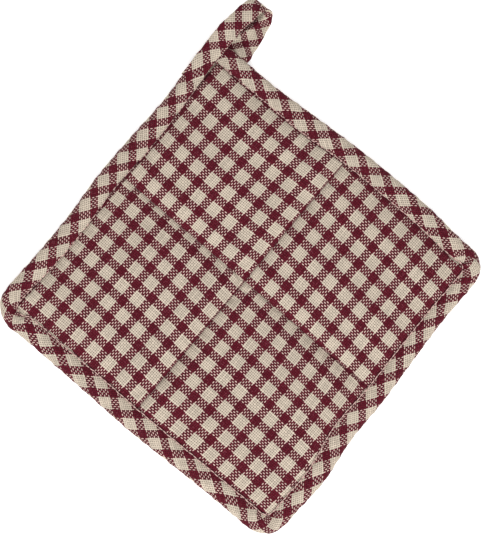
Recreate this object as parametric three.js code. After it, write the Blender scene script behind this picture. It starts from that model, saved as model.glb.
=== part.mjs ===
import * as THREE from 'three';

// Pot holder: a quilted square pad, its edge bound all round in a bias-cut strip of the same
// cloth, and the strip's tail turned back over one corner as a hanging loop.
// Millimetres, +Z up. It lies on its back on z = 0, and the loop points along +Y.

// Pad outline: a square 8 inches across with rounded corners
const HALF = 101.6;
const STRAIGHT = 84;
const CORNER = HALF - STRAIGHT;
const STATIONS_A_SIDE = 8;
const STATION_GAP = 28;

// The four sides, going round counter-clockwise. At seven stations along the straight run, and
// last round the corner after it: how far the outline stands from the pad's middle, measured square
// to the edge, and how wide the binding is there.
const SIDES = [
  {
    side: 'right',
    stands: [102.3, 104.0, 101.5, 102.0, 101.0, 100.2, 101.1, 100.5],
    bound: [10.4, 11.2, 12.5, 11.7, 10.7, 9.8, 9.9, 10.6],
  },
  {
    side: 'top',
    stands: [98.7, 101.5, 102.7, 102.9, 102.0, 101.1, 102.2, 103.6],
    bound: [11.1, 11.7, 11.8, 11.5, 12.0, 10.4, 10.9, 11.2],
  },
  {
    side: 'left',
    stands: [101.4, 100.2, 101.8, 102.8, 101.7, 102.3, 103.5, 100.5],
    bound: [11.0, 11.0, 12.7, 12.0, 11.9, 11.8, 10.6, 11.0],
  },
  {
    side: 'bottom',
    stands: [97.9, 98.8, 100.2, 101.7, 101.8, 101.9, 102.8, 103.7],
    bound: [11.8, 11.9, 12.4, 12.5, 12.0, 11.5, 11.6, 11.0],
  },
];

// Binding, folded over the pad's rim: usual width seen from above and the fold's full height
const BINDING_WIDTH = 11.4;
const BINDING_HEIGHT = 6.2;
const LEAF = 1.2;
const POCKET_TOP = 4.1;
const CLEARANCE = 0.3;

// Section of the binding where it has its usual width: distance in from the outline and height,
// from the front leaf's inner edge over the outer fold to the back leaf, then back through the
// pocket. front is the share of the section's height that gives way under the loop.
const BINDING_SECTION = [
  { inset: BINDING_WIDTH, z: 5.3, front: 1 },
  { inset: 9.2, z: 6.0, front: 1 },
  { inset: 5.6, z: BINDING_HEIGHT, front: 1 },
  { inset: 2.4, z: 5.8, front: 1 },
  { inset: 0.6, z: 4.6, front: 0.8 },
  { inset: 0, z: 3.1, front: 0.5 },
  { inset: 0.6, z: 1.2, front: 0 },
  { inset: 2.2, z: 0, front: 0 },
  { inset: BINDING_WIDTH, z: 0, front: 0 },
  { inset: BINDING_WIDTH, z: LEAF, front: 0 },
  { inset: 2.6, z: LEAF, front: 0 },
  { inset: 1.5, z: 3.0, front: 0.5 },
  { inset: 3.0, z: 4.6, front: 1 },
  { inset: 6.4, z: 4.8, front: 1 },
  { inset: BINDING_WIDTH, z: POCKET_TOP, front: 1 },
];
const CORNER_STEPS = 3;

// Pad: rim held in the binding, crown of the filling, and the quilted channels
const RIM_INSET = 3.1;
const RIM_MIDDLE = 7;
const RIM_TOP = POCKET_TOP - CLEARANCE;
const RIM_BOTTOM = LEAF + CLEARANCE;
const WINDOW_EASE = 1;
const CROWN = 8.6;
const CROWN_RUN = 26;
const CHANNEL_SPREAD = 4.5;
const CHANNEL_PINCH = 0.9;
const UNDER_CHANNEL_RISE = 2.3;
const UNDER_CHANNEL_SPREAD = 3.2;
const UNDER_CHANNEL_FADE = 0.25;
const UNDER_SHOULDER = 6;
const GRID = 28;

// The two quilting lines cross near the middle, each a little off square
const LINE_ACROSS = { at: 4.5, slope: -0.037 };
const LINE_UP = { at: -1.2, slope: 0.028 };

// Hanging loop: the strip's middle line, its width and its thickness, from the corner that it lies
// on, out over the tip and back underneath to the top side's fold. lift tilts its right edge up.
const LOOP = [
  { x: -95.4, y: 77.6, z: 6.45, width: 11.2, thick: 0.7, lift: 0 },
  { x: -96.0, y: 85, z: 6.15, width: 11, thick: 1.6, lift: 0 },
  { x: -96.0, y: 93, z: 6.15, width: 11, thick: 1.8, lift: 0 },
  { x: -95.8, y: 99.5, z: 6.9, width: 11.5, thick: 1.8, lift: 0 },
  { x: -95.6, y: 105, z: 8.3, width: 11.8, thick: 1.8, lift: 0 },
  { x: -95.3, y: 111, z: 9.5, width: 11.4, thick: 1.8, lift: 0.05 },
  { x: -94.4, y: 117.5, z: 10.1, width: 11, thick: 1.8, lift: 0.1 },
  { x: -93.4, y: 123.5, z: 9.9, width: 11.4, thick: 1.8, lift: 0.15 },
  { x: -92.4, y: 128.6, z: 8.9, width: 11.4, thick: 1.8, lift: 0.25 },
  { x: -90.4, y: 131.5, z: 7.0, width: 11.2, thick: 1.8, lift: 0.35 },
  { x: -88.0, y: 131.6, z: 4.7, width: 11.6, thick: 1.8, lift: 0.3 },
  { x: -86.2, y: 128.6, z: 2.6, width: 12.2, thick: 1.8, lift: 0.15 },
  { x: -85.1, y: 123, z: 1.35, width: 12.8, thick: 1.8, lift: 0 },
  { x: -84.0, y: 115, z: 0.9, width: 13.4, thick: 1.8, lift: 0 },
  { x: -83.3, y: 108, z: 1.1, width: 13.6, thick: 1.8, lift: 0 },
  { x: -82.8, y: 103, z: 2.3, width: 13.8, thick: 1.8, lift: 0 },
];
const LOOP_STEPS = 44;

// Section of the strip: share of its width and of its thickness, round its edge
const STRIP_SECTION = [
  { across: -0.5, up: 0 },
  { across: -0.46, up: 0.38 },
  { across: -0.25, up: 0.5 },
  { across: 0.25, up: 0.5 },
  { across: 0.46, up: 0.38 },
  { across: 0.5, up: 0 },
  { across: 0.46, up: -0.38 },
  { across: 0.25, up: -0.5 },
  { across: -0.25, up: -0.5 },
  { across: -0.46, up: -0.38 },
];

// The corner under the loop is pressed flatter by the strip that lies on it
const PRESS = { depth: 1.4, left: -91, right: -82, low: 70, high: 86 };

const CLOTH = { roughness: 0.95, metalness: 0 };
const PAD_COLOUR = '#9a7873';
const BINDING_COLOUR = '#94706c';
const LOOP_COLOUR = '#8f6b67';

const clamp01 = (value) => Math.min(Math.max(value, 0), 1);

const smooth = (from, to, value) => {
  const share = clamp01((value - from) / (to - from));
  return share * share * (3 - 2 * share);
};

// Smooth value at any station from the sides' rows, a cubic closed on itself round the pad.
// Station 0 is the bottom right corner.
function roundTheEdge(values, station) {
  const count = values.length;
  const first = Math.floor(station);
  const f = station - first;
  const at = (step) => values[(((first + step - 1) % count) + count) % count];
  const [a, b, c, d] = [at(-1), at(0), at(1), at(2)];
  return b + 0.5 * f * (c - a + f * (2 * a - 5 * b + 4 * c - d + f * (3 * (b - c) + d - a)));
}

const STANDS = SIDES.flatMap((row) => row.stands);
const BOUND = SIDES.flatMap((row) => row.bound);
const windowInset = (station) => roundTheEdge(BOUND, station) + WINDOW_EASE;

// Point of the outline at a station, moved in square to the edge
function outlinePoint(station, inset) {
  const side = Math.floor(station / STATIONS_A_SIDE);
  const step = station - side * STATIONS_A_SIDE;
  const last = STATIONS_A_SIDE - 1;
  const bend = (Math.max(step - last, 0) - Math.max(1 - step, 0)) * (Math.PI / 4);
  const along = Math.min(Math.max((step - 1) * STATION_GAP - STRAIGHT, -STRAIGHT), STRAIGHT);
  const reach = roundTheEdge(STANDS, station) - STRAIGHT - inset;
  const point = new THREE.Vector2(STRAIGHT + reach * Math.cos(bend), along + reach * Math.sin(bend));
  return point.rotateAround(new THREE.Vector2(), side * (Math.PI / 2));
}

// Distance in from each side of the binding's window, for a point inside it
function windowDistances(x, y) {
  const edge = (side, along) => {
    const held = Math.min(Math.max(along, -STRAIGHT), STRAIGHT);
    const station = side * STATIONS_A_SIDE + 1 + (held + STRAIGHT) / STATION_GAP;
    return roundTheEdge(STANDS, station) - windowInset(station);
  };
  return [edge(0, y) - x, edge(1, -x) - y, edge(2, -y) + x, edge(3, x) + y];
}

const acrossLine = (x) => LINE_ACROSS.at + LINE_ACROSS.slope * x;
const upLine = (y) => LINE_UP.at + LINE_UP.slope * y;
const fromLines = (x, y) => [Math.abs(y - acrossLine(x)), Math.abs(x - upLine(y))];

function press(x, y) {
  return PRESS.depth * (1 - smooth(PRESS.left, PRESS.right, x)) * smooth(PRESS.low, PRESS.high, y);
}

// Front of the pad: four crowned quarters between the window's edges and the quilting lines
function padTop(x, y) {
  const rise = (d) => 1 - (1 - clamp01(d / CROWN_RUN)) ** 3;
  const swell = windowDistances(x, y).reduce((product, d) => product * rise(d), 1);
  const pinch = (d) => 1 - CHANNEL_PINCH * Math.exp(-d / CHANNEL_SPREAD);
  const quarters = fromLines(x, y).reduce((product, d) => product * pinch(d), 1);
  return RIM_TOP + (CROWN - RIM_TOP) * swell * quarters - press(x, y);
}

// Back of the pad: flat on the surface, drawn up at the quilting lines and into the binding
function padBottom(x, y) {
  const settled = windowDistances(x, y).reduce((share, d) => share * smooth(0, UNDER_SHOULDER, d), 1);
  const drawn = (d) => clamp01(Math.exp(-d / UNDER_CHANNEL_SPREAD) - UNDER_CHANNEL_FADE);
  const channel = UNDER_CHANNEL_RISE * Math.max(...fromLines(x, y).map(drawn));
  return Math.max(RIM_BOTTOM * (1 - settled), channel * settled);
}

// Closed skins, kept as points and triangles
class Skin {
  constructor() {
    this.points = [];
    this.triangles = [];
  }

  add(x, y, z) {
    this.points.push(x, y, z);
    return this.points.length / 3 - 1;
  }

  quad(a, b, c, d) {
    this.triangles.push(a, b, c, a, c, d);
  }

  mesh(name, colour) {
    const geometry = new THREE.BufferGeometry();
    geometry.setAttribute('position', new THREE.Float32BufferAttribute(this.points, 3));
    geometry.setIndex(this.triangles);
    geometry.computeVertexNormals();
    const mesh = new THREE.Mesh(geometry, new THREE.MeshStandardMaterial({ color: colour, ...CLOTH }));
    mesh.name = name;
    return mesh;
  }
}

// Station of the outline for a place from -1 to 1 along a side of the pad's grid
function gridStation(side, place) {
  const windowCorner = (CORNER - BINDING_WIDTH - WINDOW_EASE) * (Math.PI / 4);
  const along = place * (STRAIGHT + windowCorner);
  const past = Math.sign(along) * Math.max(Math.abs(along) - STRAIGHT, 0);
  const held = along - past;
  return side * STATIONS_A_SIDE + 1 + (held + STRAIGHT) / STATION_GAP + past / windowCorner;
}

// Place of a grid point inside the window: stretched between its four edges, then drawn over
// so that the two middle rows lie on the quilting lines.
function gridPoint(a, b) {
  const edge = (side, place) => {
    const station = gridStation(side, place);
    return outlinePoint(station, windowInset(station));
  };
  const right = edge(0, b);
  const top = edge(1, -a);
  const left = edge(2, -b);
  const bottom = edge(3, a);
  const point = new THREE.Vector2();
  point.addScaledVector(right, (1 + a) / 2).addScaledVector(left, (1 - a) / 2);
  point.addScaledVector(top, (1 + b) / 2).addScaledVector(bottom, (1 - b) / 2);
  point.addScaledVector(edge(0, 1), (-(1 + a) * (1 + b)) / 4);
  point.addScaledVector(edge(1, 1), (-(1 - a) * (1 + b)) / 4);
  point.addScaledVector(edge(2, 1), (-(1 - a) * (1 - b)) / 4);
  point.addScaledVector(edge(3, 1), (-(1 + a) * (1 - b)) / 4);
  const middle = (p, q) => (p + q) / 2;
  const acrossShift = upLine(point.y) - middle(right.x, left.x);
  const upShift = acrossLine(point.x) - middle(top.y, bottom.y);
  point.x += acrossShift * (1 - a * a) ** 2;
  point.y += upShift * (1 - b * b) ** 2;
  return point;
}

function buildPad() {
  const skin = new Skin();
  // Rows lie close at the quilting lines and at the binding, and wide between them
  const place = (i) => {
    const share = Math.abs(2 * (i / GRID) - 1);
    return Math.sign(i - GRID / 2) * 0.5 * (1 - Math.cos(Math.PI * share));
  };
  // The grid's outer points, going round counter-clockwise
  const sides = [
    (i) => ({ i: GRID, j: i }),
    (i) => ({ i: GRID - i, j: GRID }),
    (i) => ({ i: 0, j: GRID - i }),
    (i) => ({ i, j: 0 }),
  ];
  const around = sides.flatMap((at, side) => {
    const point = (_, i) => ({ ...at(i), station: gridStation(side, place(i)) });
    return Array.from({ length: GRID }, point);
  });

  const face = (height, join) => {
    const rows = [];
    for (let i = 0; i <= GRID; i += 1) {
      rows.push([]);
      for (let j = 0; j <= GRID; j += 1) {
        const { x, y } = gridPoint(place(i), place(j));
        rows[i].push(skin.add(x, y, height(x, y)));
      }
    }
    for (let i = 0; i < GRID; i += 1) {
      for (let j = 0; j < GRID; j += 1) {
        join(rows[i][j], rows[i + 1][j], rows[i + 1][j + 1], rows[i][j + 1]);
      }
    }
    const rings = [around.map(({ i, j }) => rows[i][j])];
    [RIM_MIDDLE, RIM_INSET].forEach((inset) => {
      rings.push(around.map(({ station }) => {
        const { x, y } = outlinePoint(station, inset);
        return skin.add(x, y, height(x, y));
      }));
    });
    for (let ring = 0; ring + 1 < rings.length; ring += 1) {
      const [inner, outer] = [rings[ring], rings[ring + 1]];
      inner.forEach((_, k) => {
        const next = (k + 1) % inner.length;
        join(inner[k], outer[k], outer[next], inner[next]);
      });
    }
    return rings[rings.length - 1];
  };

  const topRim = face(padTop, (a, b, c, d) => skin.quad(a, b, c, d));
  const bottomRim = face(padBottom, (a, b, c, d) => skin.quad(d, c, b, a));
  topRim.forEach((_, k) => {
    const next = (k + 1) % topRim.length;
    skin.quad(bottomRim[k], bottomRim[next], topRim[next], topRim[k]);
  });
  return skin.mesh('pad', PAD_COLOUR);
}

// Rings of points joined one after the other, and closed end to end where asked
function joinRings(skin, rings, closed) {
  const last = closed ? rings.length : rings.length - 1;
  for (let r = 0; r < last; r += 1) {
    const [here, there] = [rings[r], rings[(r + 1) % rings.length]];
    here.forEach((_, k) => {
      const next = (k + 1) % here.length;
      skin.quad(here[k], here[next], there[next], there[k]);
    });
  }
}

function buildBinding() {
  const skin = new Skin();
  const straightSteps = 2 * (STATIONS_A_SIDE - 2);
  const steps = [
    ...Array.from({ length: CORNER_STEPS }, (_, i) => i / CORNER_STEPS),
    ...Array.from({ length: straightSteps }, (_, i) => 1 + i / 2),
    ...Array.from({ length: CORNER_STEPS }, (_, i) => STATIONS_A_SIDE - 1 + i / CORNER_STEPS),
  ];
  const rings = SIDES.flatMap((_, side) => steps.map((step) => {
    const station = side * STATIONS_A_SIDE + step;
    const widening = roundTheEdge(BOUND, station) / BINDING_WIDTH;
    return BINDING_SECTION.map(({ inset, z, front }) => {
      const { x, y } = outlinePoint(station, inset * widening);
      return skin.add(x, y, z - front * press(x, y));
    });
  }));
  joinRings(skin, rings, true);
  return skin.mesh('binding', BINDING_COLOUR);
}

function buildLoop() {
  const skin = new Skin();
  const points = LOOP.map(({ x, y, z }) => new THREE.Vector3(x, y, z));
  const path = new THREE.CatmullRomCurve3(points, false, 'centripetal');
  const between = (key, t) => {
    const place = t * (LOOP.length - 1);
    const first = Math.min(Math.floor(place), LOOP.length - 2);
    return THREE.MathUtils.lerp(LOOP[first][key], LOOP[first + 1][key], place - first);
  };
  const rings = [];
  for (let i = 0; i <= LOOP_STEPS; i += 1) {
    const t = i / LOOP_STEPS;
    const middle = path.getPoint(t);
    const along = path.getTangent(t);
    const across = new THREE.Vector3(1, 0, between('lift', t)).normalize();
    across.addScaledVector(along, -across.dot(along)).normalize();
    const up = across.clone().cross(along);
    rings.push(STRIP_SECTION.map((corner) => {
      const point = middle.clone();
      point.addScaledVector(across, corner.across * between('width', t));
      point.addScaledVector(up, corner.up * between('thick', t));
      return skin.add(point.x, point.y, Math.max(point.z, 0));
    }));
  }
  joinRings(skin, rings, false);
  const close = (ring, turn) => {
    for (let k = 1; k + 1 < ring.length; k += 1) {
      const [a, b, c] = [ring[0], ring[k], ring[k + 1]];
      skin.triangles.push(...(turn ? [a, c, b] : [a, b, c]));
    }
  };
  close(rings[0], true);
  close(rings[rings.length - 1], false);
  return skin.mesh('loop', LOOP_COLOUR);
}

const potHolder = new THREE.Group();
potHolder.name = 'pot_holder';
potHolder.add(buildPad(), buildBinding(), buildLoop());

// The origin is under the middle of the whole, loop and all
const box = new THREE.Box3().setFromObject(potHolder);
const centre = box.getCenter(new THREE.Vector3());
potHolder.position.set(-centre.x, -centre.y, -box.min.z);

export default potHolder;
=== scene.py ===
"""A quilted cloth pot holder, lying on its back and seen from straight above.

The pad is two squares of checked homespun over a filling, quilted by two lines of sewing that cross
near its middle. A strip of the same cloth, cut on the bias, binds the edge, and its tail is turned
back over one corner as a hanging loop.

Sizes are millimetres in the pad's own frame: its middle is the origin, +Z comes up out of the front
and +Y is the way the loop points. Meshes are put into the part's frame, in metres, as they are made.
"""

import logging
import math
from dataclasses import dataclass, field, replace
from enum import Enum
from typing import Any, Callable

import bpy
import numpy as np
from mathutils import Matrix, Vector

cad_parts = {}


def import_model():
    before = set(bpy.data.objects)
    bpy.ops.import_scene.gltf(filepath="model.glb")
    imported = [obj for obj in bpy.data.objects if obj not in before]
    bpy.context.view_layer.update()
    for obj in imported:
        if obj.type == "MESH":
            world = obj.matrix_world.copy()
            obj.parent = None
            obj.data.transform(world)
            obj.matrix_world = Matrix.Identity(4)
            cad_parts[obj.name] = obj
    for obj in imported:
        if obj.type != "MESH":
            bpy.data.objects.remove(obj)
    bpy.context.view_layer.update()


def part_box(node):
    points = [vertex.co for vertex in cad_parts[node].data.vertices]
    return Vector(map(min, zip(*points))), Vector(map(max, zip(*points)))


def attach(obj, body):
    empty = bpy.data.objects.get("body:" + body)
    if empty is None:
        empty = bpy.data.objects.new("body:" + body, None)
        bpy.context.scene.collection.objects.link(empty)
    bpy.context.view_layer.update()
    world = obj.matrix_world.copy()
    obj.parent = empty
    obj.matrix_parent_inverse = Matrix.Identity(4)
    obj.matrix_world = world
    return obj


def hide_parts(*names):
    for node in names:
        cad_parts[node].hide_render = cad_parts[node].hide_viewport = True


Array = np.ndarray

MM = 0.001
THREAD_MAP = "Threads"
ROOT = "root"
REPEAT = 10  # Threads to a repeat of the check

log = logging.getLogger("pot_holder")


class Side(Enum):
    """The pad's four sides, in the order that the outline goes round them."""

    RIGHT = 0
    TOP = 1
    LEFT = 2
    BOTTOM = 3


class Quarter(Enum):
    """The four quarters between the quilting lines: the way of each along X and along Y."""

    UPPER_LEFT = (-1, 1)
    UPPER_RIGHT = (1, 1)
    LOWER_LEFT = (-1, -1)
    LOWER_RIGHT = (1, -1)


class Slot(Enum):
    """The material slots of the part's record."""

    PANEL = "panel_cloth"
    BINDING = "binding_cloth"
    THREAD = "sewing_thread"


def smooth_step(low: float, high: float, value: Array) -> Array:
    """Rises from 0 at low to 1 at high, level at both ends: 3 t squared less 2 t cubed.

    Args:
        low: Where the step starts.
        high: Where it ends.
        value: Places to work it out at.

    Returns:
        The step's height at each place.
    """
    share = np.clip((value - low) / (high - low), 0.0, 1.0)
    return share * share * (3.0 - 2.0 * share)


def cubic_through(knots: Array, values: Array, at: Array) -> Array:
    """A cubic through uneven knots: Hermite pieces whose slopes are the neighbours' chords.

    Args:
        knots: Places of the knots, rising.
        values: Value or point at each knot.
        at: Places to work it out at. Past the ends it goes on straight.

    Returns:
        The curve's value or point at each place.
    """
    slopes = np.gradient(values, knots, axis=0)
    first = np.clip(np.searchsorted(knots, at, side="right") - 1, 0, len(knots) - 2)
    gap = knots[first + 1] - knots[first]
    t = np.clip((at - knots[first]) / gap, 0.0, 1.0)
    past = (at - knots[first]) - t * gap
    extra = (1,) * (values.ndim - 1)
    t, gap, past = (a.reshape(a.shape + extra) for a in (t, gap, past))
    start, end = values[first], values[first + 1]
    rise, fall = slopes[first] * gap, slopes[first + 1] * gap
    curve = (2 * t**3 - 3 * t**2 + 1) * start + (t**3 - 2 * t**2 + t) * rise
    curve = curve + (3 * t**2 - 2 * t**3) * end + (t**3 - t**2) * fall
    return curve + past * np.where(past > 0, slopes[first + 1], slopes[first])


def waver(place: Array, length: float, start: float) -> Array:
    """An uneven wave from -1 to 1: three sines of unlike lengths, added.

    Args:
        place: Places along it.
        length: Usual distance from crest to crest.
        start: Shifts it along, so that no two runs look alike.

    Returns:
        The wave at each place.
    """
    turn = 2 * math.pi / length
    long = np.sin(turn * 0.61 * place + 1.7 * start)
    usual = np.sin(turn * place + 2.9 * start)
    short = np.sin(turn * 1.83 * place + 4.3 * start)
    return 0.38 * long + 0.40 * usual + 0.22 * short


def bell(off: Array, half_width: float) -> Array:
    """1 in the middle and less to both sides: e to the minus square of the distance's share.

    Args:
        off: Distances from the middle.
        half_width: Distance at which it has come down to 0.37.

    Returns:
        The bell's height at each distance.
    """
    return np.exp(-((off / half_width) ** 2))


def passed_along(line: Array) -> Array:
    """Distance along a line at each of its points: the lengths of the chords before it, added.

    Args:
        line: The line's points, one a row.

    Returns:
        The distance at each point, 0 at the first.
    """
    return np.concatenate([[0], np.cumsum(np.linalg.norm(np.diff(line, axis=0), axis=1))])


def unit(vectors: Array) -> Array:
    """Vectors of length 1 that point the same way as the given ones, along the last axis."""
    return vectors / np.linalg.norm(vectors, axis=-1)[..., None]


def srgb(code: str) -> tuple[float, float, float, float]:
    """The linear colour of an sRGB hex code such as #c9bbaa.

    Args:
        code: The hex code.

    Returns:
        Red, green, blue and an alpha of 1.
    """
    channels = [int(code[i : i + 2], 16) / 255 for i in (1, 3, 5)]
    linear = [c / 12.92 if c <= 0.04045 else ((c + 0.055) / 1.055) ** 2.4 for c in channels]
    return (linear[0], linear[1], linear[2], 1.0)


def to_a_metre(size: float) -> float:
    """A pattern's scale in the shader: how many of its size in mm go to a metre, in whole ones."""
    return float(round(1 / (size * MM)))


def blank_material(name: str) -> tuple[Any, Any]:
    """Makes a material without nodes.

    Args:
        name: The material's name.

    Returns:
        The material and its node tree.
    """
    made = bpy.data.materials.new(name)
    made.use_nodes = True
    made.node_tree.nodes.clear()
    return made, made.node_tree


def add_object(name: str, data: Any) -> Any:
    """Makes an object of a mesh, a camera or a lamp, and puts it in the scene.

    Args:
        name: The object's name.
        data: What it shows.

    Returns:
        The new object.
    """
    made = bpy.data.objects.new(name, data)
    bpy.context.scene.collection.objects.link(made)
    return made


def add_node(tree: Any, kind: str, settings: dict[str, Any], inputs: dict[Any, Any]) -> Any:
    """Adds a shader node, with its settings and what goes into it.

    Args:
        tree: The node tree it goes into.
        kind: The node's type name.
        settings: The node's own settings by name.
        inputs: By the input's name or number, a socket to link or a constant to set.

    Returns:
        The new node.
    """
    node = tree.nodes.new(kind)
    for name, value in settings.items():
        setattr(node, name, value)
    for name, value in inputs.items():
        if isinstance(value, bpy.types.NodeSocket):
            tree.links.new(value, node.inputs[name])
        else:
            node.inputs[name].default_value = value
    return node


@dataclass(frozen=True)
class SideEdge:
    """One side's edge: at seven places along it, and last round the corner after it.

    Attributes:
        stands: How far the outline stands from the pad's middle, square to the edge.
        bound: How wide the binding is there.
    """

    stands: tuple[float, ...]
    bound: tuple[float, ...]


@dataclass(frozen=True)
class PadOutline:
    """The pad's outline, an uneven square with rounded corners, walked by stations.

    There are eight stations a side: seven along its straight run and one round the corner after it.
    Station 0 is the corner between the bottom and the right side, and they count counter-clockwise.

    Attributes:
        straight: Half the length of a side's straight run.
        a_side: Stations a side.
        gap: Distance between stations on a straight run.
        edges: The four sides as measured.
    """

    straight: float = 84.0
    a_side: int = 8
    gap: float = 28.0
    edges: dict[Side, SideEdge] = field(
        default_factory=lambda: {
            Side.RIGHT: SideEdge(
                stands=(102.3, 104.0, 101.5, 102.0, 101.0, 100.2, 101.1, 100.5),
                bound=(10.4, 11.2, 12.5, 11.7, 10.7, 9.8, 9.9, 10.6),
            ),
            Side.TOP: SideEdge(
                stands=(98.7, 101.5, 102.7, 102.9, 102.0, 101.1, 102.2, 103.6),
                bound=(11.1, 11.7, 11.8, 11.5, 12.0, 10.4, 10.9, 11.2),
            ),
            Side.LEFT: SideEdge(
                stands=(101.4, 100.2, 101.8, 102.8, 101.7, 102.3, 103.5, 100.5),
                bound=(11.0, 11.0, 12.7, 12.0, 11.9, 11.8, 10.6, 11.0),
            ),
            Side.BOTTOM: SideEdge(
                stands=(97.9, 98.8, 100.2, 101.7, 101.8, 101.9, 102.8, 103.7),
                bound=(11.8, 11.9, 12.4, 12.5, 12.0, 11.5, 11.6, 11.0),
            ),
        }
    )

    @property
    def stations(self) -> int:
        """How many stations there are all round."""
        return len(Side) * self.a_side

    def around(self, measure: Callable[[SideEdge], tuple[float, ...]], station: Array) -> Array:
        """A measured size at any station: a cubic through the stations, closed on itself.

        Args:
            measure: Picks the size out of a side's edge.
            station: Places round the outline.

        Returns:
            The size at each place.
        """
        values = np.array([value for side in Side for value in measure(self.edges[side])])
        first = np.floor(station).astype(int)
        f = station - first
        a, b, c, d = (values[(first + step - 1) % len(values)] for step in (-1, 0, 1, 2))
        bend = 2 * a - 5 * b + 4 * c - d + f * (3 * (b - c) + d - a)
        return b + 0.5 * f * (c - a + f * bend)

    def stands(self, station: Array) -> Array:
        """How far the outline stands from the middle at each station."""
        return self.around(lambda edge: edge.stands, station)

    def bound(self, station: Array) -> Array:
        """How wide the binding is at each station."""
        return self.around(lambda edge: edge.bound, station)

    def point(self, station: Array, inset: Array) -> Array:
        """Points of the outline, moved in square to the edge.

        A place on the straight run is the side's distance and how far along it is. Past either end
        of the run the same distance is turned about the run's end, by an eighth of a turn a station.

        Args:
            station: Places round the outline.
            inset: How far in from the outline each point lies.

        Returns:
            The points, as an array whose last axis is x and y.
        """
        station = np.mod(station, self.stations)
        side = np.floor(station / self.a_side)
        step = station - self.a_side * side
        bend = (np.maximum(step - self.a_side + 1, 0) - np.maximum(1 - step, 0)) * math.pi / 4
        along = np.clip((step - 1) * self.gap - self.straight, -self.straight, self.straight)
        reach = self.stands(station) - self.straight - inset
        x, y = self.straight + reach * np.cos(bend), along + reach * np.sin(bend)
        turn = side * math.pi / 2
        turned = (x * np.cos(turn) - y * np.sin(turn), x * np.sin(turn) + y * np.cos(turn))
        return np.stack(np.broadcast_arrays(*turned), axis=-1)

    def edge_distances(self, x: Array, y: Array, ease: float) -> Array:
        """How far inside the binding's inner edge each point lies, from each of the four sides.

        It is how far the outline stands out beside the point, less the binding's width there, the
        ease and how far out the point itself is.

        Args:
            x: Places across.
            y: Places up.
            ease: How far inside the binding's edge the distances start.

        Returns:
            Four arrays, one for each side, along the first axis.
        """
        rows = []
        for side, along, out in ((0, y, x), (1, -x, y), (2, -y, -x), (3, x, -y)):
            held = np.clip(along, -self.straight, self.straight)
            station = side * self.a_side + 1 + (held + self.straight) / self.gap
            rows.append(self.stands(station) - self.bound(station) - ease - out)
        return np.array(rows)


@dataclass(frozen=True)
class Quilting:
    """The two lines of sewing that cross near the middle, each a little off square.

    Attributes:
        across_at: Where the line across stands at x = 0.
        across_slope: How much it rises for each millimetre to the right.
        up_at: Where the line up stands at y = 0.
        up_slope: How much it leans to the right for each millimetre up.
    """

    across_at: float = 4.5
    across_slope: float = -0.037
    up_at: float = -1.2
    up_slope: float = 0.028

    def above(self, x: Array, y: Array) -> Array:
        """How far above the line across each point lies."""
        return y - (self.across_at + self.across_slope * x)

    def right_of(self, x: Array, y: Array) -> Array:
        """How far to the right of the line up each point lies."""
        return x - (self.up_at + self.up_slope * y)


@dataclass(frozen=True)
class Repeats:
    """One thread system's count of check repeats over a quarter, 0 being a cream band's middle.

    Attributes:
        crossing: The count where the quilting lines cross.
        side: The count at the binding, along the line across.
        corner: The count at the pad's corner.
        end: The count at the binding, along the line up.
        bow_across: How far the bands bow between the line up and the side.
        bow_up: How far they bow between the line across and the end.
    """

    crossing: float
    side: float
    corner: float
    end: float
    bow_across: float = 0.0
    bow_up: float = 0.0

    def at(self, a: Array, b: Array) -> Array:
        """The count over the quarter.

        The four corner counts are spread evenly between each other, and each bow adds its size
        times the share times what is left of it.

        Args:
            a: Shares of the way from the line up to the side.
            b: Shares of the way from the line across to the end.

        Returns:
            The count at each place.
        """
        level = self.crossing * (1 - a) * (1 - b) + self.side * a * (1 - b)
        level = level + self.corner * a * b + self.end * (1 - a) * b
        return level + self.bow_across * a * (1 - a) + self.bow_up * b * (1 - b)


@dataclass(frozen=True)
class CheckLayout:
    """Where the check's threads run on a panel, quarter by quarter.

    Some cloth is hidden in the creases of the quilting lines, so the counts of two quarters
    differ along the line between them.

    Attributes:
        warp: Counts of the threads that run up, quarter by quarter.
        weft: Counts of the threads that run across.
        reach: Distance from the lines' crossing to where the side and end counts hold.
        crease: Half the width over which one quarter's count passes into the next one's.
    """

    warp: dict[Quarter, Repeats]
    weft: dict[Quarter, Repeats]
    reach: float = 90.0
    crease: float = 0.7

    def threads_at(self, quilting: Quilting, x: Array, y: Array) -> Array:
        """Thread numbers over the panel: the quarters' counts by their shares, times the repeat.

        A quarter's share is 1 on its own side of both quilting lines and 0 past them, and goes
        smoothly from one to the other across each crease.

        Args:
            quilting: The two lines of sewing.
            x: Places across.
            y: Places up.

        Returns:
            The numbers at each place, warp and weft, as the last axis.
        """
        rightwards = smooth_step(-self.crease, self.crease, quilting.right_of(x, y))
        upwards = smooth_step(-self.crease, self.crease, quilting.above(x, y))
        total = np.zeros(np.shape(x) + (2,))
        for quarter in Quarter:
            way_x, way_y = quarter.value
            share = np.where(way_x > 0, rightwards, 1 - rightwards)
            share = share * np.where(way_y > 0, upwards, 1 - upwards)
            a, b = way_x * x / self.reach, way_y * y / self.reach
            total[..., 0] += share * self.warp[quarter].at(a, b)
            total[..., 1] += share * self.weft[quarter].at(a, b)
        return REPEAT * total


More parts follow.
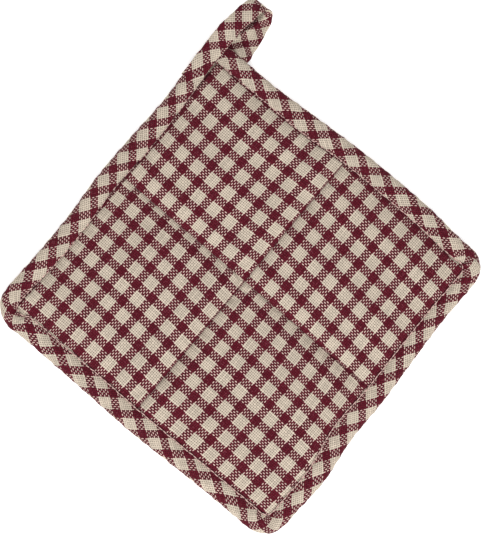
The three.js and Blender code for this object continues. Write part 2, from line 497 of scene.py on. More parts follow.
FRONT_CHECK = CheckLayout(
    warp={
        Quarter.UPPER_LEFT: Repeats(-0.35, -8.40, -8.75, -0.80, -0.10, 0.20),
        Quarter.UPPER_RIGHT: Repeats(-0.15, 7.65, 7.55, -0.40, -0.05, 0.25),
        Quarter.LOWER_LEFT: Repeats(-0.55, -8.40, -8.10, -0.20, 0.40, -0.10),
        Quarter.LOWER_RIGHT: Repeats(-0.10, 7.75, 7.90, 0.25, 0.10, -0.50),
    },
    weft={
        Quarter.UPPER_LEFT: Repeats(-0.10, -0.35, 7.20, 7.25, 0.55, -0.15),
        Quarter.UPPER_RIGHT: Repeats(0.00, 0.60, 8.05, 7.35, -0.15, -0.05),
        Quarter.LOWER_LEFT: Repeats(-0.20, -0.70, -8.10, -7.60, -0.45, -0.45),
        Quarter.LOWER_RIGHT: Repeats(-0.25, 0.40, -7.35, -7.55, -0.25, -0.60),
    },
)

BACK_CHECK = CheckLayout(
    warp={
        Quarter.UPPER_LEFT: Repeats(0.20, -7.85, -7.70, 0.30),
        Quarter.UPPER_RIGHT: Repeats(0.45, 8.30, 8.35, 0.60),
        Quarter.LOWER_LEFT: Repeats(0.20, -7.85, -8.00, 0.10),
        Quarter.LOWER_RIGHT: Repeats(0.45, 8.30, 8.20, 0.30),
    },
    weft={
        Quarter.UPPER_LEFT: Repeats(0.15, 0.05, 7.95, 8.00),
        Quarter.UPPER_RIGHT: Repeats(0.15, 0.30, 8.20, 8.00),
        Quarter.LOWER_LEFT: Repeats(-0.10, -0.20, -8.05, -7.90),
        Quarter.LOWER_RIGHT: Repeats(-0.10, 0.05, -7.80, -7.90),
    },
)


@dataclass(frozen=True)
class Diamond:
    """A cream diamond of the bias-cut strip, by its middle.

    Attributes:
        along: Place along the strip's middle line.
        inset: Distance in from the strip's outer edge.
    """

    along: float
    inset: float


@dataclass(frozen=True)
class BiasLayout:
    """Where the check's threads run on the bias-cut strip.

    Warp and weft cross the strip slantwise, one each way, so the bands make diamonds. The cream
    diamonds of one row are listed, and between them the count goes on evenly.

    Attributes:
        diamonds: The row of cream diamonds, in order along the strip.
        across: Repeat of the diamonds across the strip.
    """

    diamonds: tuple[Diamond, ...]
    across: float = 14.0

    def threads_at(self, along: Array, inset: Array) -> Array:
        """Thread numbers over the strip.

        The warp's count is the number of diamonds passed plus the distance in from their row over
        the repeat across, and the weft's is the same number less that.

        Args:
            along: Places along the strip.
            inset: Distances in from its outer edge.

        Returns:
            The numbers at each place, warp and weft, as the last axis.
        """
        places = np.array([d.along for d in self.diamonds])
        insets = np.array([d.inset for d in self.diamonds])
        passed = cubic_through(places, np.arange(len(places), dtype=float), along)
        slant = (inset - cubic_through(places, insets, along)) / self.across
        return REPEAT * np.stack([passed + slant, passed - slant], axis=-1)


@dataclass(frozen=True)
class CheckedHomespun:
    """Plain-weave homespun cotton, yarn-dyed in a burgundy and cream check, washed and unpressed.

    Coarse single yarns stand up round and a little uneven, with painted shade in the pinholes between
    them, and the surface is matt with a dry, faintly fuzzy bloom.

    Attributes:
        name: The material's name.
        cream: Colour of the undyed yarn.
        burgundy: Colour of the dyed yarn.
        worn: Colour of the dyed yarn where its surface is rubbed pale.
        painted_rosy_bounce: Undyed yarn's colour where it crosses dyed yarn, with painted rosy bounce
            light.
        painted_pinhole_shade: Painted shade of the pinholes between yarns, as a share of the yarn's
            colour.
        worn_share: Share of the worn colour where the fibres are rubbed most.
        worn_size: Size of the rubbed spots, in mm. They are drawn coarser than single fibres,
            which are too fine to show.
        cream_threads: Cream threads in a repeat.
        weft_numbers: Added to a weft thread's number, so that no warp thread has its shade.
        yarn_width: Half the width of a float, in threads.
        yarn_reach: Half the length of a float, in threads.
        nipped_width: Half the width of a cream float between dyed threads, which are fuller.
        yarn_height: Height of a float above the pinholes, in mm.
        unshaded_height: Share of that height from which the yarn's colour has no more painted shade.
        stray: How far the yarns stray to and fro from straight lines, in threads.
        stray_size: Distance over which they stray, in mm.
        darkest: Shade of a yarn, as a share, before the three that follow make it lighter.
        tone: How much lighter one thread is than another.
        slub: How much lighter a yarn is in some places along it than in others.
        slub_size: Length of its thick and thin places, in mm.
        slub_relief: How much they stand up, as a share of a float's height.
        cloud: How much lighter the cloth is from place to place, as it has worn.
        cloud_size: Size of those places, in mm.
    """

    name: str
    cream: str = "#c0b2a1"
    burgundy: str = "#520a1a"
    worn: str = "#80404c"
    painted_rosy_bounce: str = "#cba9a0"
    painted_pinhole_shade: float = 0.2
    worn_share: float = 0.4
    worn_size: float = 0.909
    cream_threads: int = 6
    weft_numbers: float = 500.0
    yarn_width: float = 0.48
    yarn_reach: float = 0.68
    nipped_width: float = 0.27
    yarn_height: float = 0.3
    unshaded_height: float = 0.72
    stray: float = 0.28
    stray_size: float = 3.85
    darkest: float = 0.68
    tone: float = 0.3
    slub: float = 0.24
    slub_size: float = 2.38
    slub_relief: float = 0.35
    cloud: float = 0.07
    cloud_size: float = 22.2

    def crossing(self) -> list[tuple[Any, ...]]:
        """Steps that say which yarn shows at a point of the weave, and how high it stands there.

        A row is a step's name, its operation and what it works on: numbers, or the names of steps
        before it. MIX gives its second value where the first is 0 and its third where it is 1. The
        sum of warp and weft, even or odd, says which thread is over the other. A float's height is
        1 less the squares of the distance off its line over half its width and of the distance
        along it over half its length. The float beside it is as high, one thread further over.

        Returns:
            The steps, in order.
        """
        half, cream_below = self.cream_threads / 2, self.cream_threads - 0.5
        repeat = float(REPEAT)
        return [
            ("both", "ADD", "warp", "weft"),
            ("weft over", "FLOORED_MODULO", "both", 2.0),
            ("warp from cream", "ADD", "warp", half),
            ("weft from cream", "ADD", "weft", half),
            ("warp place", "FLOORED_MODULO", "warp from cream", repeat),
            ("weft place", "FLOORED_MODULO", "weft from cream", repeat),
            ("warp cream", "LESS_THAN", "warp place", cream_below),
            ("weft cream", "LESS_THAN", "weft place", cream_below),
            ("over cream", "MIX", "weft over", "warp cream", "weft cream"),
            ("under cream", "MIX", "weft over", "weft cream", "warp cream"),
            ("weft number", "ADD", "weft", self.weft_numbers),
            ("over number", "MIX", "weft over", "warp", "weft number"),
            ("under number", "MIX", "weft over", "weft number", "warp"),
            ("signed across", "MIX", "weft over", "off warp", "off weft"),
            ("signed along", "MIX", "weft over", "off weft", "off warp"),
            ("across", "ABSOLUTE", "signed across"),
            ("along", "ABSOLUTE", "signed along"),
            ("own nipped", "GREATER_THAN", "over cream", "under cream"),
            ("own half", "MIX", "own nipped", self.yarn_width, self.nipped_width),
            ("own off", "DIVIDE", "across", "own half"),
            ("own on", "DIVIDE", "along", self.yarn_reach),
            ("own off squared", "MULTIPLY", "own off", "own off"),
            ("own on squared", "MULTIPLY", "own on", "own on"),
            ("own round", "SUBTRACT", 1.0, "own off squared"),
            ("own", "SUBTRACT", "own round", "own on squared"),
            ("next nipped", "GREATER_THAN", "under cream", "over cream"),
            ("next half", "MIX", "next nipped", self.yarn_width, self.nipped_width),
            ("from next", "SUBTRACT", 1.0, "across"),
            ("next off", "DIVIDE", "along", "next half"),
            ("next on", "DIVIDE", "from next", self.yarn_reach),
            ("next off squared", "MULTIPLY", "next off", "next off"),
            ("next on squared", "MULTIPLY", "next on", "next on"),
            ("next round", "SUBTRACT", 1.0, "next off squared"),
            ("next", "SUBTRACT", "next round", "next on squared"),
            ("next shows", "GREATER_THAN", "next", "own"),
            ("cream", "MIX", "next shows", "over cream", "under cream"),
            ("nipped", "MIX", "next shows", "own nipped", "next nipped"),
            ("thread", "MIX", "next shows", "over number", "under number"),
            ("higher", "MAXIMUM", "own", "next"),
            ("above pinhole", "MAXIMUM", "higher", 0.0),
            ("height", "SQRT", "above pinhole"),
        ]

    def material(self) -> bpy.types.Material:
        """Builds the cloth's shader from the thread numbers in the piece's UV map.

        Returns:
            The finished material.
        """
        made, tree = blank_material(self.name)
        maths, vector = "ShaderNodeMath", "ShaderNodeVectorMath"
        smooth = {"interpolation_type": "SMOOTHSTEP"}
        place = add_node(tree, "ShaderNodeTexCoord", {}, {}).outputs["Object"]
        noises = []
        for size, detail in (
            (self.stray_size, 1.0),
            (self.slub_size, 2.0),
            (self.cloud_size, 2.0),
            (self.worn_size, 2.0),
        ):
            pattern = {"Vector": place, "Scale": to_a_metre(size), "Detail": detail}
            noises.append(add_node(tree, "ShaderNodeTexNoise", {}, pattern).outputs)
        stray, slub, cloud, fuzz = noises

        # The threads' numbers, with a little wandering, split into whole threads and what is over
        middle = (0.5, 0.5, 0.5)
        threads = add_node(tree, "ShaderNodeUVMap", {"uv_map": THREAD_MAP}, {}).outputs[0]
        off = add_node(tree, vector, {"operation": "SUBTRACT"}, {0: stray["Color"], 1: middle})
        off = add_node(tree, vector, {"operation": "SCALE"}, {0: off.outputs[0], "Scale": self.stray})
        threads = add_node(tree, vector, {"operation": "ADD"}, {0: threads, 1: off.outputs[0]}).outputs[0]
        whole = add_node(tree, vector, {"operation": "FLOOR"}, {0: threads}).outputs[0]
        within = add_node(tree, vector, {"operation": "FRACTION"}, {0: threads}).outputs[0]
        within = add_node(tree, vector, {"operation": "SUBTRACT"}, {0: within, 1: middle}).outputs[0]
        warp, weft, _ = add_node(tree, "ShaderNodeSeparateXYZ", {}, {0: whole}).outputs
        off_warp, off_weft, _ = add_node(tree, "ShaderNodeSeparateXYZ", {}, {0: within}).outputs
        known = {"warp": warp, "weft": weft, "off warp": off_warp, "off weft": off_weft}
        for name, operation, *values in self.crossing():
            is_mix = operation == "MIX"
            kind, sockets = ("ShaderNodeMix", (0, 2, 3)) if is_mix else (maths, (0, 1, 2))
            inputs = {socket: known.get(value, value) for socket, value in zip(sockets, values)}
            settings = {} if is_mix else {"operation": operation}
            known[name] = add_node(tree, kind, settings, inputs).outputs[0]
        height = known["height"]

        # Each thread is a shade of its own, and thicker and thinner along its length
        one_line = {"noise_dimensions": "1D"}
        tone = add_node(tree, "ShaderNodeTexWhiteNoise", one_line, {"W": known["thread"]}).outputs
        shade: Any = self.darkest
        for source, share in ((tone, self.tone), (slub, self.slub), (cloud, self.cloud)):
            parts = {0: source[0], 1: share, 2: shade}
            shade = add_node(tree, maths, {"operation": "MULTIPLY_ADD"}, parts).outputs[0]

        # Painted shade darkens the pinholes and the yarns' sides down to them,
        # and dyed fibres are rubbed pale where the finest noise is high
        depth = {"Value": height, "From Max": self.unshaded_height, "To Min": self.painted_pinhole_shade}
        deep = add_node(tree, "ShaderNodeMapRange", smooth, depth)
        wear = {"Value": fuzz[0], "From Min": 0.5, "From Max": 0.72, "To Max": self.worn_share}
        rubbed = add_node(tree, "ShaderNodeMapRange", smooth, wear)

        # The yarns' colours: undyed or dyed, and one of the two where it is on top
        mixes: dict[str, Any] = {}
        for name, factor, first, second in (
            # Painted light: undyed yarn nipped between dyed threads takes a rosy tint, as if lit by light
            # bounced off them
            ("undyed", known["nipped"], srgb(self.cream), srgb(self.painted_rosy_bounce)),
            ("dyed", rubbed.outputs[0], srgb(self.burgundy), srgb(self.worn)),
            ("yarn", known["cream"], "dyed", "undyed"),
        ):
            inputs = {0: factor, 6: mixes.get(first, first), 7: mixes.get(second, second)}
            mixes[name] = add_node(tree, "ShaderNodeMix", {"data_type": "RGBA"}, inputs).outputs[2]
        # Painted shade: each yarn's tone is taken times the pinhole shade
        dark = add_node(tree, maths, {"operation": "MULTIPLY"}, {0: shade, 1: deep.outputs[0]}).outputs[0]
        colour = add_node(tree, vector, {"operation": "SCALE"}, {0: mixes["yarn"], "Scale": dark})
        uneven = {0: slub[0], 1: self.slub_relief, 2: height}
        relief = add_node(tree, maths, {"operation": "MULTIPLY_ADD"}, uneven).outputs[0]
        stands_up = {"Strength": 0.8, "Distance": self.yarn_height * MM, "Height": relief}
        bump = add_node(tree, "ShaderNodeBump", {}, stands_up)
        surface = add_node(
            tree,
            "ShaderNodeBsdfPrincipled",
            {},
            {
                "Base Color": colour.outputs[0],
                "Roughness": 0.92,
                "Specular IOR Level": 0.12,
                "Sheen Weight": 0.04,
                "Sheen Roughness": 0.55,
                "Normal": bump.outputs[0],
            },
        )
        add_node(tree, "ShaderNodeOutputMaterial", {}, {"Surface": surface.outputs[0]})
        return made


@dataclass(frozen=True)
class SewingCotton:
    """Cream mercerised sewing cotton, a three-ply twist.

    It is smoother and a little brighter than the cloth, with painted shade along the slanted lines of its
    plies.

    Attributes:
        name: The material's name.
        colour: Colour of the thread.
        plies: Plies in the thread.
        ply_length: Distance along the thread from one ply to the next, in mm.
        ply_height: How far a ply stands up from the line between two, in mm.
        painted_ply_shade: Painted shade on that line, how dark it is drawn as a share of the thread's
            colour.
        band_scale: Scale of the wave, which has a band to every 0.63 over it.
    """

    name: str = "Mercerised sewing cotton"
    colour: str = "#dfb9b0"
    plies: int = 3
    ply_length: float = 0.45
    ply_height: float = 0.08
    painted_ply_shade: float = 0.72
    band_scale: float = 0.31

    def material(self) -> bpy.types.Material:
        """Builds the thread's shader. The piece's UV map counts plies along the thread and round it.

        A band of the wave comes to two plies, 0.9 mm, because single ones are too fine to show.

        Returns:
            The finished material.
        """
        made, tree = blank_material(self.name)
        turns = add_node(tree, "ShaderNodeUVMap", {"uv_map": THREAD_MAP}, {}).outputs[0]
        plies = add_node(
            tree,
            "ShaderNodeTexWave",
            {"bands_direction": "DIAGONAL", "wave_profile": "SIN"},
            {"Vector": turns, "Scale": self.band_scale},
        )
        # Painted shade: the colour darkens towards the line between two plies
        lighter = {"Value": plies.outputs["Fac"], "To Min": self.painted_ply_shade}
        ply_shade = add_node(tree, "ShaderNodeMapRange", {}, lighter)
        scaled = {0: srgb(self.colour)[:3], "Scale": ply_shade.outputs[0]}
        colour = add_node(tree, "ShaderNodeVectorMath", {"operation": "SCALE"}, scaled)
        relief = {"Strength": 0.5, "Distance": self.ply_height * MM, "Height": plies.outputs["Fac"]}
        bump = add_node(tree, "ShaderNodeBump", {}, relief)
        surface = add_node(
            tree,
            "ShaderNodeBsdfPrincipled",
            {},
            {
                "Base Color": colour.outputs[0],
                "Roughness": 0.7,
                "Sheen Weight": 0.1,
                "Normal": bump.outputs[0],
            },
        )
        add_node(tree, "ShaderNodeOutputMaterial", {}, {"Surface": surface.outputs[0]})
        return made


@dataclass
class Workshop:
    """Turns arrays of points and faces into finished pieces in the part's frame.

    Attributes:
        shift: Where the pad's middle lies in the part's frame, in mm.
    """

    shift: Array

    def piece(
        self, name: str, points: Array, quads: Array, threads: Array, material: Any
    ) -> Any:
        """Makes a piece that rides on the part.

        Args:
            name: The piece's name.
            points: Its points in the pad's frame, one a row.
            quads: Its faces, four point numbers a row.
            threads: The thread map, two numbers for each corner of each face.
            material: Its material.

        Returns:
            The new object.
        """
        mesh = bpy.data.meshes.new(name)
        placed = (points + np.array([self.shift[0], self.shift[1], 0.0])) * MM
        mesh.vertices.add(len(placed))
        mesh.vertices.foreach_set("co", placed.astype(np.float32).ravel())
        mesh.loops.add(quads.size)
        mesh.loops.foreach_set("vertex_index", quads.astype(np.int32).ravel())
        mesh.polygons.add(len(quads))
        mesh.polygons.foreach_set("loop_start", np.arange(0, quads.size, 4, dtype=np.int32))
        mesh.uv_layers.new(name=THREAD_MAP)
        mesh.uv_layers[0].data.foreach_set("uv", threads.astype(np.float32).ravel())
        mesh.polygons.foreach_set("use_smooth", np.ones(len(quads), dtype=bool))
        mesh.materials.append(material)
        mesh.validate()
        mesh.update()
        made = add_object(name, mesh)
        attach(made, ROOT)
        log.info("%s: %d points, %d triangles", name, len(points), 2 * len(quads))
        return made


def grid_quads(rows: int, columns: int, rows_close: bool = False, columns_close: bool = False) -> Array:
    """Faces of a grid of points kept row by row, going round each face from its first corner.

    Args:
        rows: Rows of points.
        columns: Points in a row.
        rows_close: The last row joins the first.
        columns_close: The last point of a row joins its first.

    Returns:
        Four point numbers for each face.
    """
    r = np.arange(rows if rows_close else rows - 1)[:, None]
    c = np.arange(columns if columns_close else columns - 1)[None, :]
    r2, c2 = (r + 1) % rows, (c + 1) % columns
    corners = [r * columns + c, r * columns + c2, r2 * columns + c2, r2 * columns + c]
    return np.stack(corners, axis=-1).reshape(-1, 4)


def cap_quads(rings: int, columns: int) -> Array:
    """Faces that close both ends of a tube, each joining points across from each other.

    Args:
        rings: Rings of points along the tube.
        columns: Points in a ring, an even number.

    Returns:
        Four point numbers for each face, the first ring's faces and then the last one's.
    """
    k = np.arange(columns // 2 - 1)
    last = np.stack([k, k + 1, columns - 2 - k, columns - 1 - k], axis=1)
    return np.concatenate([last[:, ::-1], last + (rings - 1) * columns])


@dataclass(frozen=True)
class Dent:
    """A soft trough or ridge in the pad's front.

    Attributes:
        x: Its middle across.
        y: Its middle up.
        turn: The way it runs, in degrees from +X.
        length: How far it runs.
        width: How wide it is.
        depth: How deep it is. A ridge is below 0.
    """

    x: float
    y: float
    turn: float
    length: float
    width: float
    depth: float

    def at(self, x: Array, y: Array) -> Array:
        """Its depth: that of its middle, falling off as a bell along and across it.

        Args:
            x: Places across.
            y: Places up.

        Returns:
            The depth at each place.
        """
        turn = math.radians(self.turn)
        on = (x - self.x) * math.cos(turn) + (y - self.y) * math.sin(turn)
        off = (y - self.y) * math.cos(turn) - (x - self.x) * math.sin(turn)
        return self.depth * np.exp(-((2 * on / self.length) ** 2) - (2 * off / self.width) ** 2)


@dataclass(frozen=True)
class CornerPress:
    """How the corner under the loop is pressed flatter by the strip that lies on it.

    Attributes:
        depth: How far down it is pressed.
        left: Where it is pressed in full, going to the left.
        right: Where the press ends, going to the right.
        low: Where it starts, going up.
        high: Where it is pressed in full, going up.
    """

    depth: float = 1.4
    left: float = -91.0
    right: float = -82.0
    low: float = 70.0
    high: float = 86.0

    def at(self, x: Array, y: Array) -> Array:
        """How far down each point is pressed: full left of the corner and above it."""
        leftwards = 1 - smooth_step(self.left, self.right, x)
        return self.depth * leftwards * smooth_step(self.low, self.high, y)


@dataclass(frozen=True)
class Gathers:
    """Small ripples of the fullness that a line of sewing gathers up, running square off it.

    Attributes:
        length: Usual distance from ripple to ripple.
        start: Shifts them along the line.
        reach: How far they reach from the line.
        height: Their height.
    """

    length: float
    start: float
    reach: float
    height: float = 0.34

    def at(self, along: Array, distance: Array) -> Array:
        """Their height: an uneven wave along the line, which falls off with the distance from it.

        Args:
            along: Places along the line.
            distance: Distances from it.

        Returns:
            The height at each place.
        """
        return self.height * waver(along, self.length, self.start) * np.exp(-np.abs(distance) / self.reach)


@dataclass
class QuiltedPad:
    """The pad: two panels of checked cloth over a filling, drawn together along the quilting.

    Attributes:
        outline: The pad's outline.
        quilting: The two lines of sewing.
        press: How its corner is pressed.
        rim_inset: How far in from the outline its raw edge lies, inside the binding.
        rim_top: Height of the front at the binding.
        rim_bottom: Height of the back at the binding.
        ease: How far inside the binding's edge the front starts to rise.
        crown: Height of each quarter's crown.
        crown_run: Distance over which the front rises to its crown.
        pinch: Share of the crown that the quilting takes away.
        pinch_spread: How far that reaches from a line.
        pinch_round: How round the bottom of the valley along a line is.
        crease: Depth of the narrow crease that the sewing itself draws in.
        crease_gain: Share by which it is deeper at the right and bottom ends of the lines.
        crease_width: Its width.
        crease_gains: Where along a line that begins and where it is there in full.
        fullness: How much the front stands up beside the right, top, left and bottom bindings.
        fullness_spread: How far that reaches from them.
        ditches: Depth of the trough beside the right, top, left and bottom bindings.
        ditch_width: Its width.
        gathers: The ripples along the line across, the line up, and the right, top, left and
            bottom bindings.
        rumple: Height of the broad waves of a cloth that was washed and not pressed.
        shows_from: Distances in from the binding's edge over which all these come in.
        under_rise: How far the sewing draws the back up at the lines.
        under_spread: How far that reaches from a line.
        under_fade: Share of the rise below which the back lies flat.
        under_shoulder: Distance over which the back rounds up to the binding.
        meets_from: Share of the way out to the raw edge where front and back begin to meet.
        cells: Faces along each side of the grid.
        closer: Where the grid's rows lie closer: how far out, half the width of the stretch, and
            how much closer.
        dents: Soft troughs and ridges of the front.
    """

    outline: PadOutline
    quilting: Quilting
    press: CornerPress
    rim_inset: float = 3.1
    rim_top: float = 4.1
    rim_bottom: float = 1.5
    ease: float = 1.0
    crown: float = 7.9
    crown_run: float = 30.0
    pinch: float = 0.62
    pinch_spread: float = 6.0
    pinch_round: float = 1.6
    crease: float = 0.45
    crease_gain: float = 0.4
    crease_gains: tuple[float, float] = (10.0, 80.0)
    crease_width: float = 1.5
    fullness: tuple[float, float, float, float] = (1.4, 1.8, 2.0, 1.2)
    fullness_spread: float = 12.0
    ditches: tuple[float, float, float, float] = (0.35, 0.35, 0.6, 0.5)
    ditch_width: float = 1.15
    gathers: tuple[Gathers, ...] = (
        Gathers(length=8.0, start=0.3, reach=5.0),
        Gathers(length=8.5, start=1.1, reach=5.0),
        Gathers(length=7.5, start=0.2, reach=5.5),
        Gathers(length=7.5, start=1.9, reach=5.5),
        Gathers(length=7.5, start=3.1, reach=5.5),
        Gathers(length=7.5, start=4.4, reach=5.5),
    )
    rumple: float = 0.16
    shows_from: tuple[float, float] = (-1.0, 2.0)
    under_rise: float = 2.3
    under_spread: float = 3.2
    under_fade: float = 0.25
    under_shoulder: float = 6.0
    meets_from: float = 0.975
    cells: int = 218
    closer: tuple[tuple[float, float, float], ...] = (
        (0.0, 0.016, 3.2),
        (0.0, 0.06, 0.8),
        (0.905, 0.03, 0.9),
    )
    dents: tuple[Dent, ...] = (
        Dent(x=-24, y=78, turn=80, length=34, width=9, depth=1.0),
        Dent(x=-31, y=76, turn=78, length=30, width=8, depth=-0.4),
        Dent(x=81, y=-7, turn=-60, length=24, width=8, depth=0.9),
        Dent(x=70, y=0, turn=-15, length=30, width=9, depth=0.8),
        Dent(x=-70, y=-6, turn=14, length=34, width=10, depth=0.7),
        Dent(x=60, y=1.6, turn=-2, length=52, width=6, depth=0.9),
        Dent(x=-2.6, y=-58, turn=88, length=52, width=6, depth=0.6),
    )

    def swell(self, x: Array, y: Array) -> Array:
        """Share of the crown between the binding's edges: a rise from each, ever less steep."""
        distances = self.outline.edge_distances(x, y, self.ease)
        return np.prod(1 - (1 - np.clip(distances / self.crown_run, 0, 1)) ** 2, axis=0)

    def from_lines(self, x: Array, y: Array) -> Array:
        """Distance to each quilting line."""
        return np.abs(np.array([self.quilting.above(x, y), self.quilting.right_of(x, y)]))

    def ripples(self, x: Array, y: Array, edges: Array) -> Array:
        """Height of the gathers and of the broad waves, added.

        There are two broad waves, 23 and 27 mm from crest to crest, that run slantwise.

        Args:
            x: Places across.
            y: Places up.
            edges: Distances from the four bindings' edges.

        Returns:
            The height at each place.
        """
        distances = (self.quilting.above(x, y), self.quilting.right_of(x, y), *edges)
        total = np.zeros(np.shape(x))
        for gathers, along, distance in zip(self.gathers, (x, y, y, x, y, x), distances):
            total = total + gathers.at(along, distance)
        broad = self.rumple * waver(x + 0.4 * y, 23.0, 0.9) + self.rumple * waver(y - 0.3 * x, 27.0, 2.2)
        return total + broad

    def front(self, x: Array, y: Array) -> Array:
        """Height of the front: crowned quarters, less the pinch of the lines, creases and dents.

        The crown's height over the rim is taken times the swell and times 1 less the pinch, which
        falls off from each line. The fullness falls off from the bindings in the same way. The
        creases and the ditches are bells about the lines and the bindings' edges.

        Args:
            x: Places across.
            y: Places up.

        Returns:
            The height at each place.
        """
        lines = self.from_lines(x, y)
        rounded = np.hypot(lines, self.pinch_round) - self.pinch_round
        quarters = np.prod(1 - self.pinch * np.exp(-rounded / self.pinch_spread), axis=0)
        height = self.rim_top + (self.crown - self.rim_top) * self.swell(x, y) * quarters
        edges = self.outline.edge_distances(x, y, 0.0)
        inside = smooth_step(*self.shows_from, edges.min(axis=0))
        full = np.array(self.fullness)[:, None, None] * np.exp(-np.abs(edges) / self.fullness_spread)
        height = height + full.max(axis=0) * inside
        deeper = 1 + self.crease_gain * smooth_step(*self.crease_gains, np.array([x, -y]))
        crease = self.crease * (deeper * bell(lines, self.crease_width / 2)).max(axis=0)
        ditch = (np.array(self.ditches)[:, None, None] * bell(edges, self.ditch_width)).max(axis=0)
        height = height - crease * inside - ditch
        for dent in self.dents:
            height = height - dent.at(x, y) * inside
        return height + self.ripples(x, y, edges) * inside - self.press.at(x, y)

    def back(self, x: Array, y: Array) -> Array:
        """Height of the back: flat on the surface, drawn up at the lines and into the binding.

        Args:
            x: Places across.
            y: Places up.

        Returns:
            The height at each place.
        """
        distances = self.outline.edge_distances(x, y, self.ease)
        settled = np.prod(smooth_step(0.0, self.under_shoulder, distances), axis=0)
        lines = self.from_lines(x, y)
        drawn = np.clip(np.exp(-lines / self.under_spread) - self.under_fade, 0, 1).max(axis=0)
        return np.maximum(self.rim_bottom * (1 - settled), self.under_rise * drawn * settled)

    def places(self) -> Array:
        """Places of the grid's rows from -1 to 1, closer together at the middle and at the binding.

        They lie at even steps of a running sum, of 1 plus a bell for each closer stretch.

        Returns:
            The places, rising.
        """
        even = np.linspace(-1, 1, 2001)
        close = np.ones_like(even)
        for out, half_width, closer in self.closer:
            close = close + closer * bell(np.abs(even) - out, half_width)
        passed = np.concatenate([[0], np.cumsum((close[1:] + close[:-1]) / 2)])
        return np.interp(np.linspace(0, passed[-1], self.cells + 1), passed, even)

    def raw_edge(self, side: Side, at: Array) -> Array:
        """Points of the raw edge along one side and half of each corner beside it.

        A place on the straight run is at its own station, and the rest of the way goes round the
        corner, an eighth of a turn to a station.

        Args:
            side: The side.
            at: Places from -1 to 1 along it, counter-clockwise.

        Returns:
            The points, as an array whose last axis is x and y.
        """
        outline = self.outline
        corner = (outline.stands(np.array(0.0)) - outline.straight - self.rim_inset) * math.pi / 4
        along = at * (outline.straight + corner)
        held = np.clip(along, -outline.straight, outline.straight)
        station = side.value * outline.a_side + 1 + (held + outline.straight) / outline.gap
        return outline.point(station + (along - held) / corner, np.array(self.rim_inset))

    def plan(self) -> Array:
        """Grid of points in plan, stretched between the four edges.

        Each point is the average of the ones on the edges beside it and above and below it, less
        the corners' share, as in a Coons patch. The two middle rows are then drawn over onto the
        quilting lines, less and less towards the edges.

        Returns:
            The points, as a grid whose last axis is x and y.
        """
        place = self.places()
        a, b = np.meshgrid(place, place, indexing="ij")
        wide, high = a[..., None], b[..., None]
        right, top = self.raw_edge(Side.RIGHT, b), self.raw_edge(Side.TOP, -a)
        left, bottom = self.raw_edge(Side.LEFT, -b), self.raw_edge(Side.BOTTOM, a)
        plan = right * (1 + wide) / 2 + left * (1 - wide) / 2
        plan = plan + top * (1 + high) / 2 + bottom * (1 - high) / 2
        ends = (Quarter.UPPER_RIGHT, Quarter.UPPER_LEFT, Quarter.LOWER_LEFT, Quarter.LOWER_RIGHT)
        for side, quarter in zip(Side, ends):
            way_x, way_y = quarter.value
            corner = self.raw_edge(side, np.array(1.0))
            plan = plan - corner * (1 + way_x * wide) * (1 + way_y * high) / 4
        middle = self.cells // 2
        off_up = self.quilting.right_of(plan[middle, :, 0], plan[middle, :, 1])
        off_across = self.quilting.above(plan[:, middle, 0], plan[:, middle, 1])
        plan[..., 0] -= off_up[None, :] * (1 - a * a) ** 2
        plan[..., 1] -= off_across[:, None] * (1 - b * b) ** 2
        return plan

    def build(self, shop: Workshop, cloth: bpy.types.Material, settled: Array | None) -> Any:
        """Makes the pad: front and back grids that meet at the raw edge, inside the binding.

        Args:
            shop: Makes the piece.
            cloth: Its material.
            settled: How far each point of the front has moved as the cloth settled, if it has.

        Returns:
            The pad's object.
        """
        plan = self.plan()
        x, y = plan[..., 0], plan[..., 1]
        place = self.places()
        out = np.maximum(np.abs(place)[:, None], np.abs(place)[None, :])
        meeting = smooth_step(self.meets_from, 1.0, out)
        middle = (self.rim_top + self.rim_bottom) / 2
        front = self.front(x, y) * (1 - meeting) + middle * meeting
        back = self.back(x, y) * (1 - meeting) + middle * meeting
        above, below = np.dstack([x, y, front]), np.dstack([x, y, back])
        if settled is not None:
            above = above + settled * (1 - meeting)[..., None]
        points = np.concatenate([above.reshape(-1, 3), below.reshape(-1, 3)])

        # The back's outermost points are the front's own, so that the two grids are one closed skin
        n = self.cells + 1
        quads = grid_quads(n, n)
        number = np.arange(n * n)
        inner = np.zeros((n, n), bool)
        inner[1:-1, 1:-1] = True
        under = np.where(inner.ravel(), number + n * n, number)
        front_quads, back_quads = quads[:, ::-1], under[quads]
        threads_front = FRONT_CHECK.threads_at(self.quilting, x, y).reshape(-1, 2)
        threads_back = BACK_CHECK.threads_at(self.quilting, x, y).reshape(-1, 2)
        threads = np.concatenate([threads_front[front_quads], threads_back[quads]])
        used, numbers = np.unique(np.concatenate([front_quads, back_quads]), return_inverse=True)
        made = shop.piece("quilted_pad", points[used], numbers.reshape(-1, 4), threads, cloth)
        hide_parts("pad")
        return made


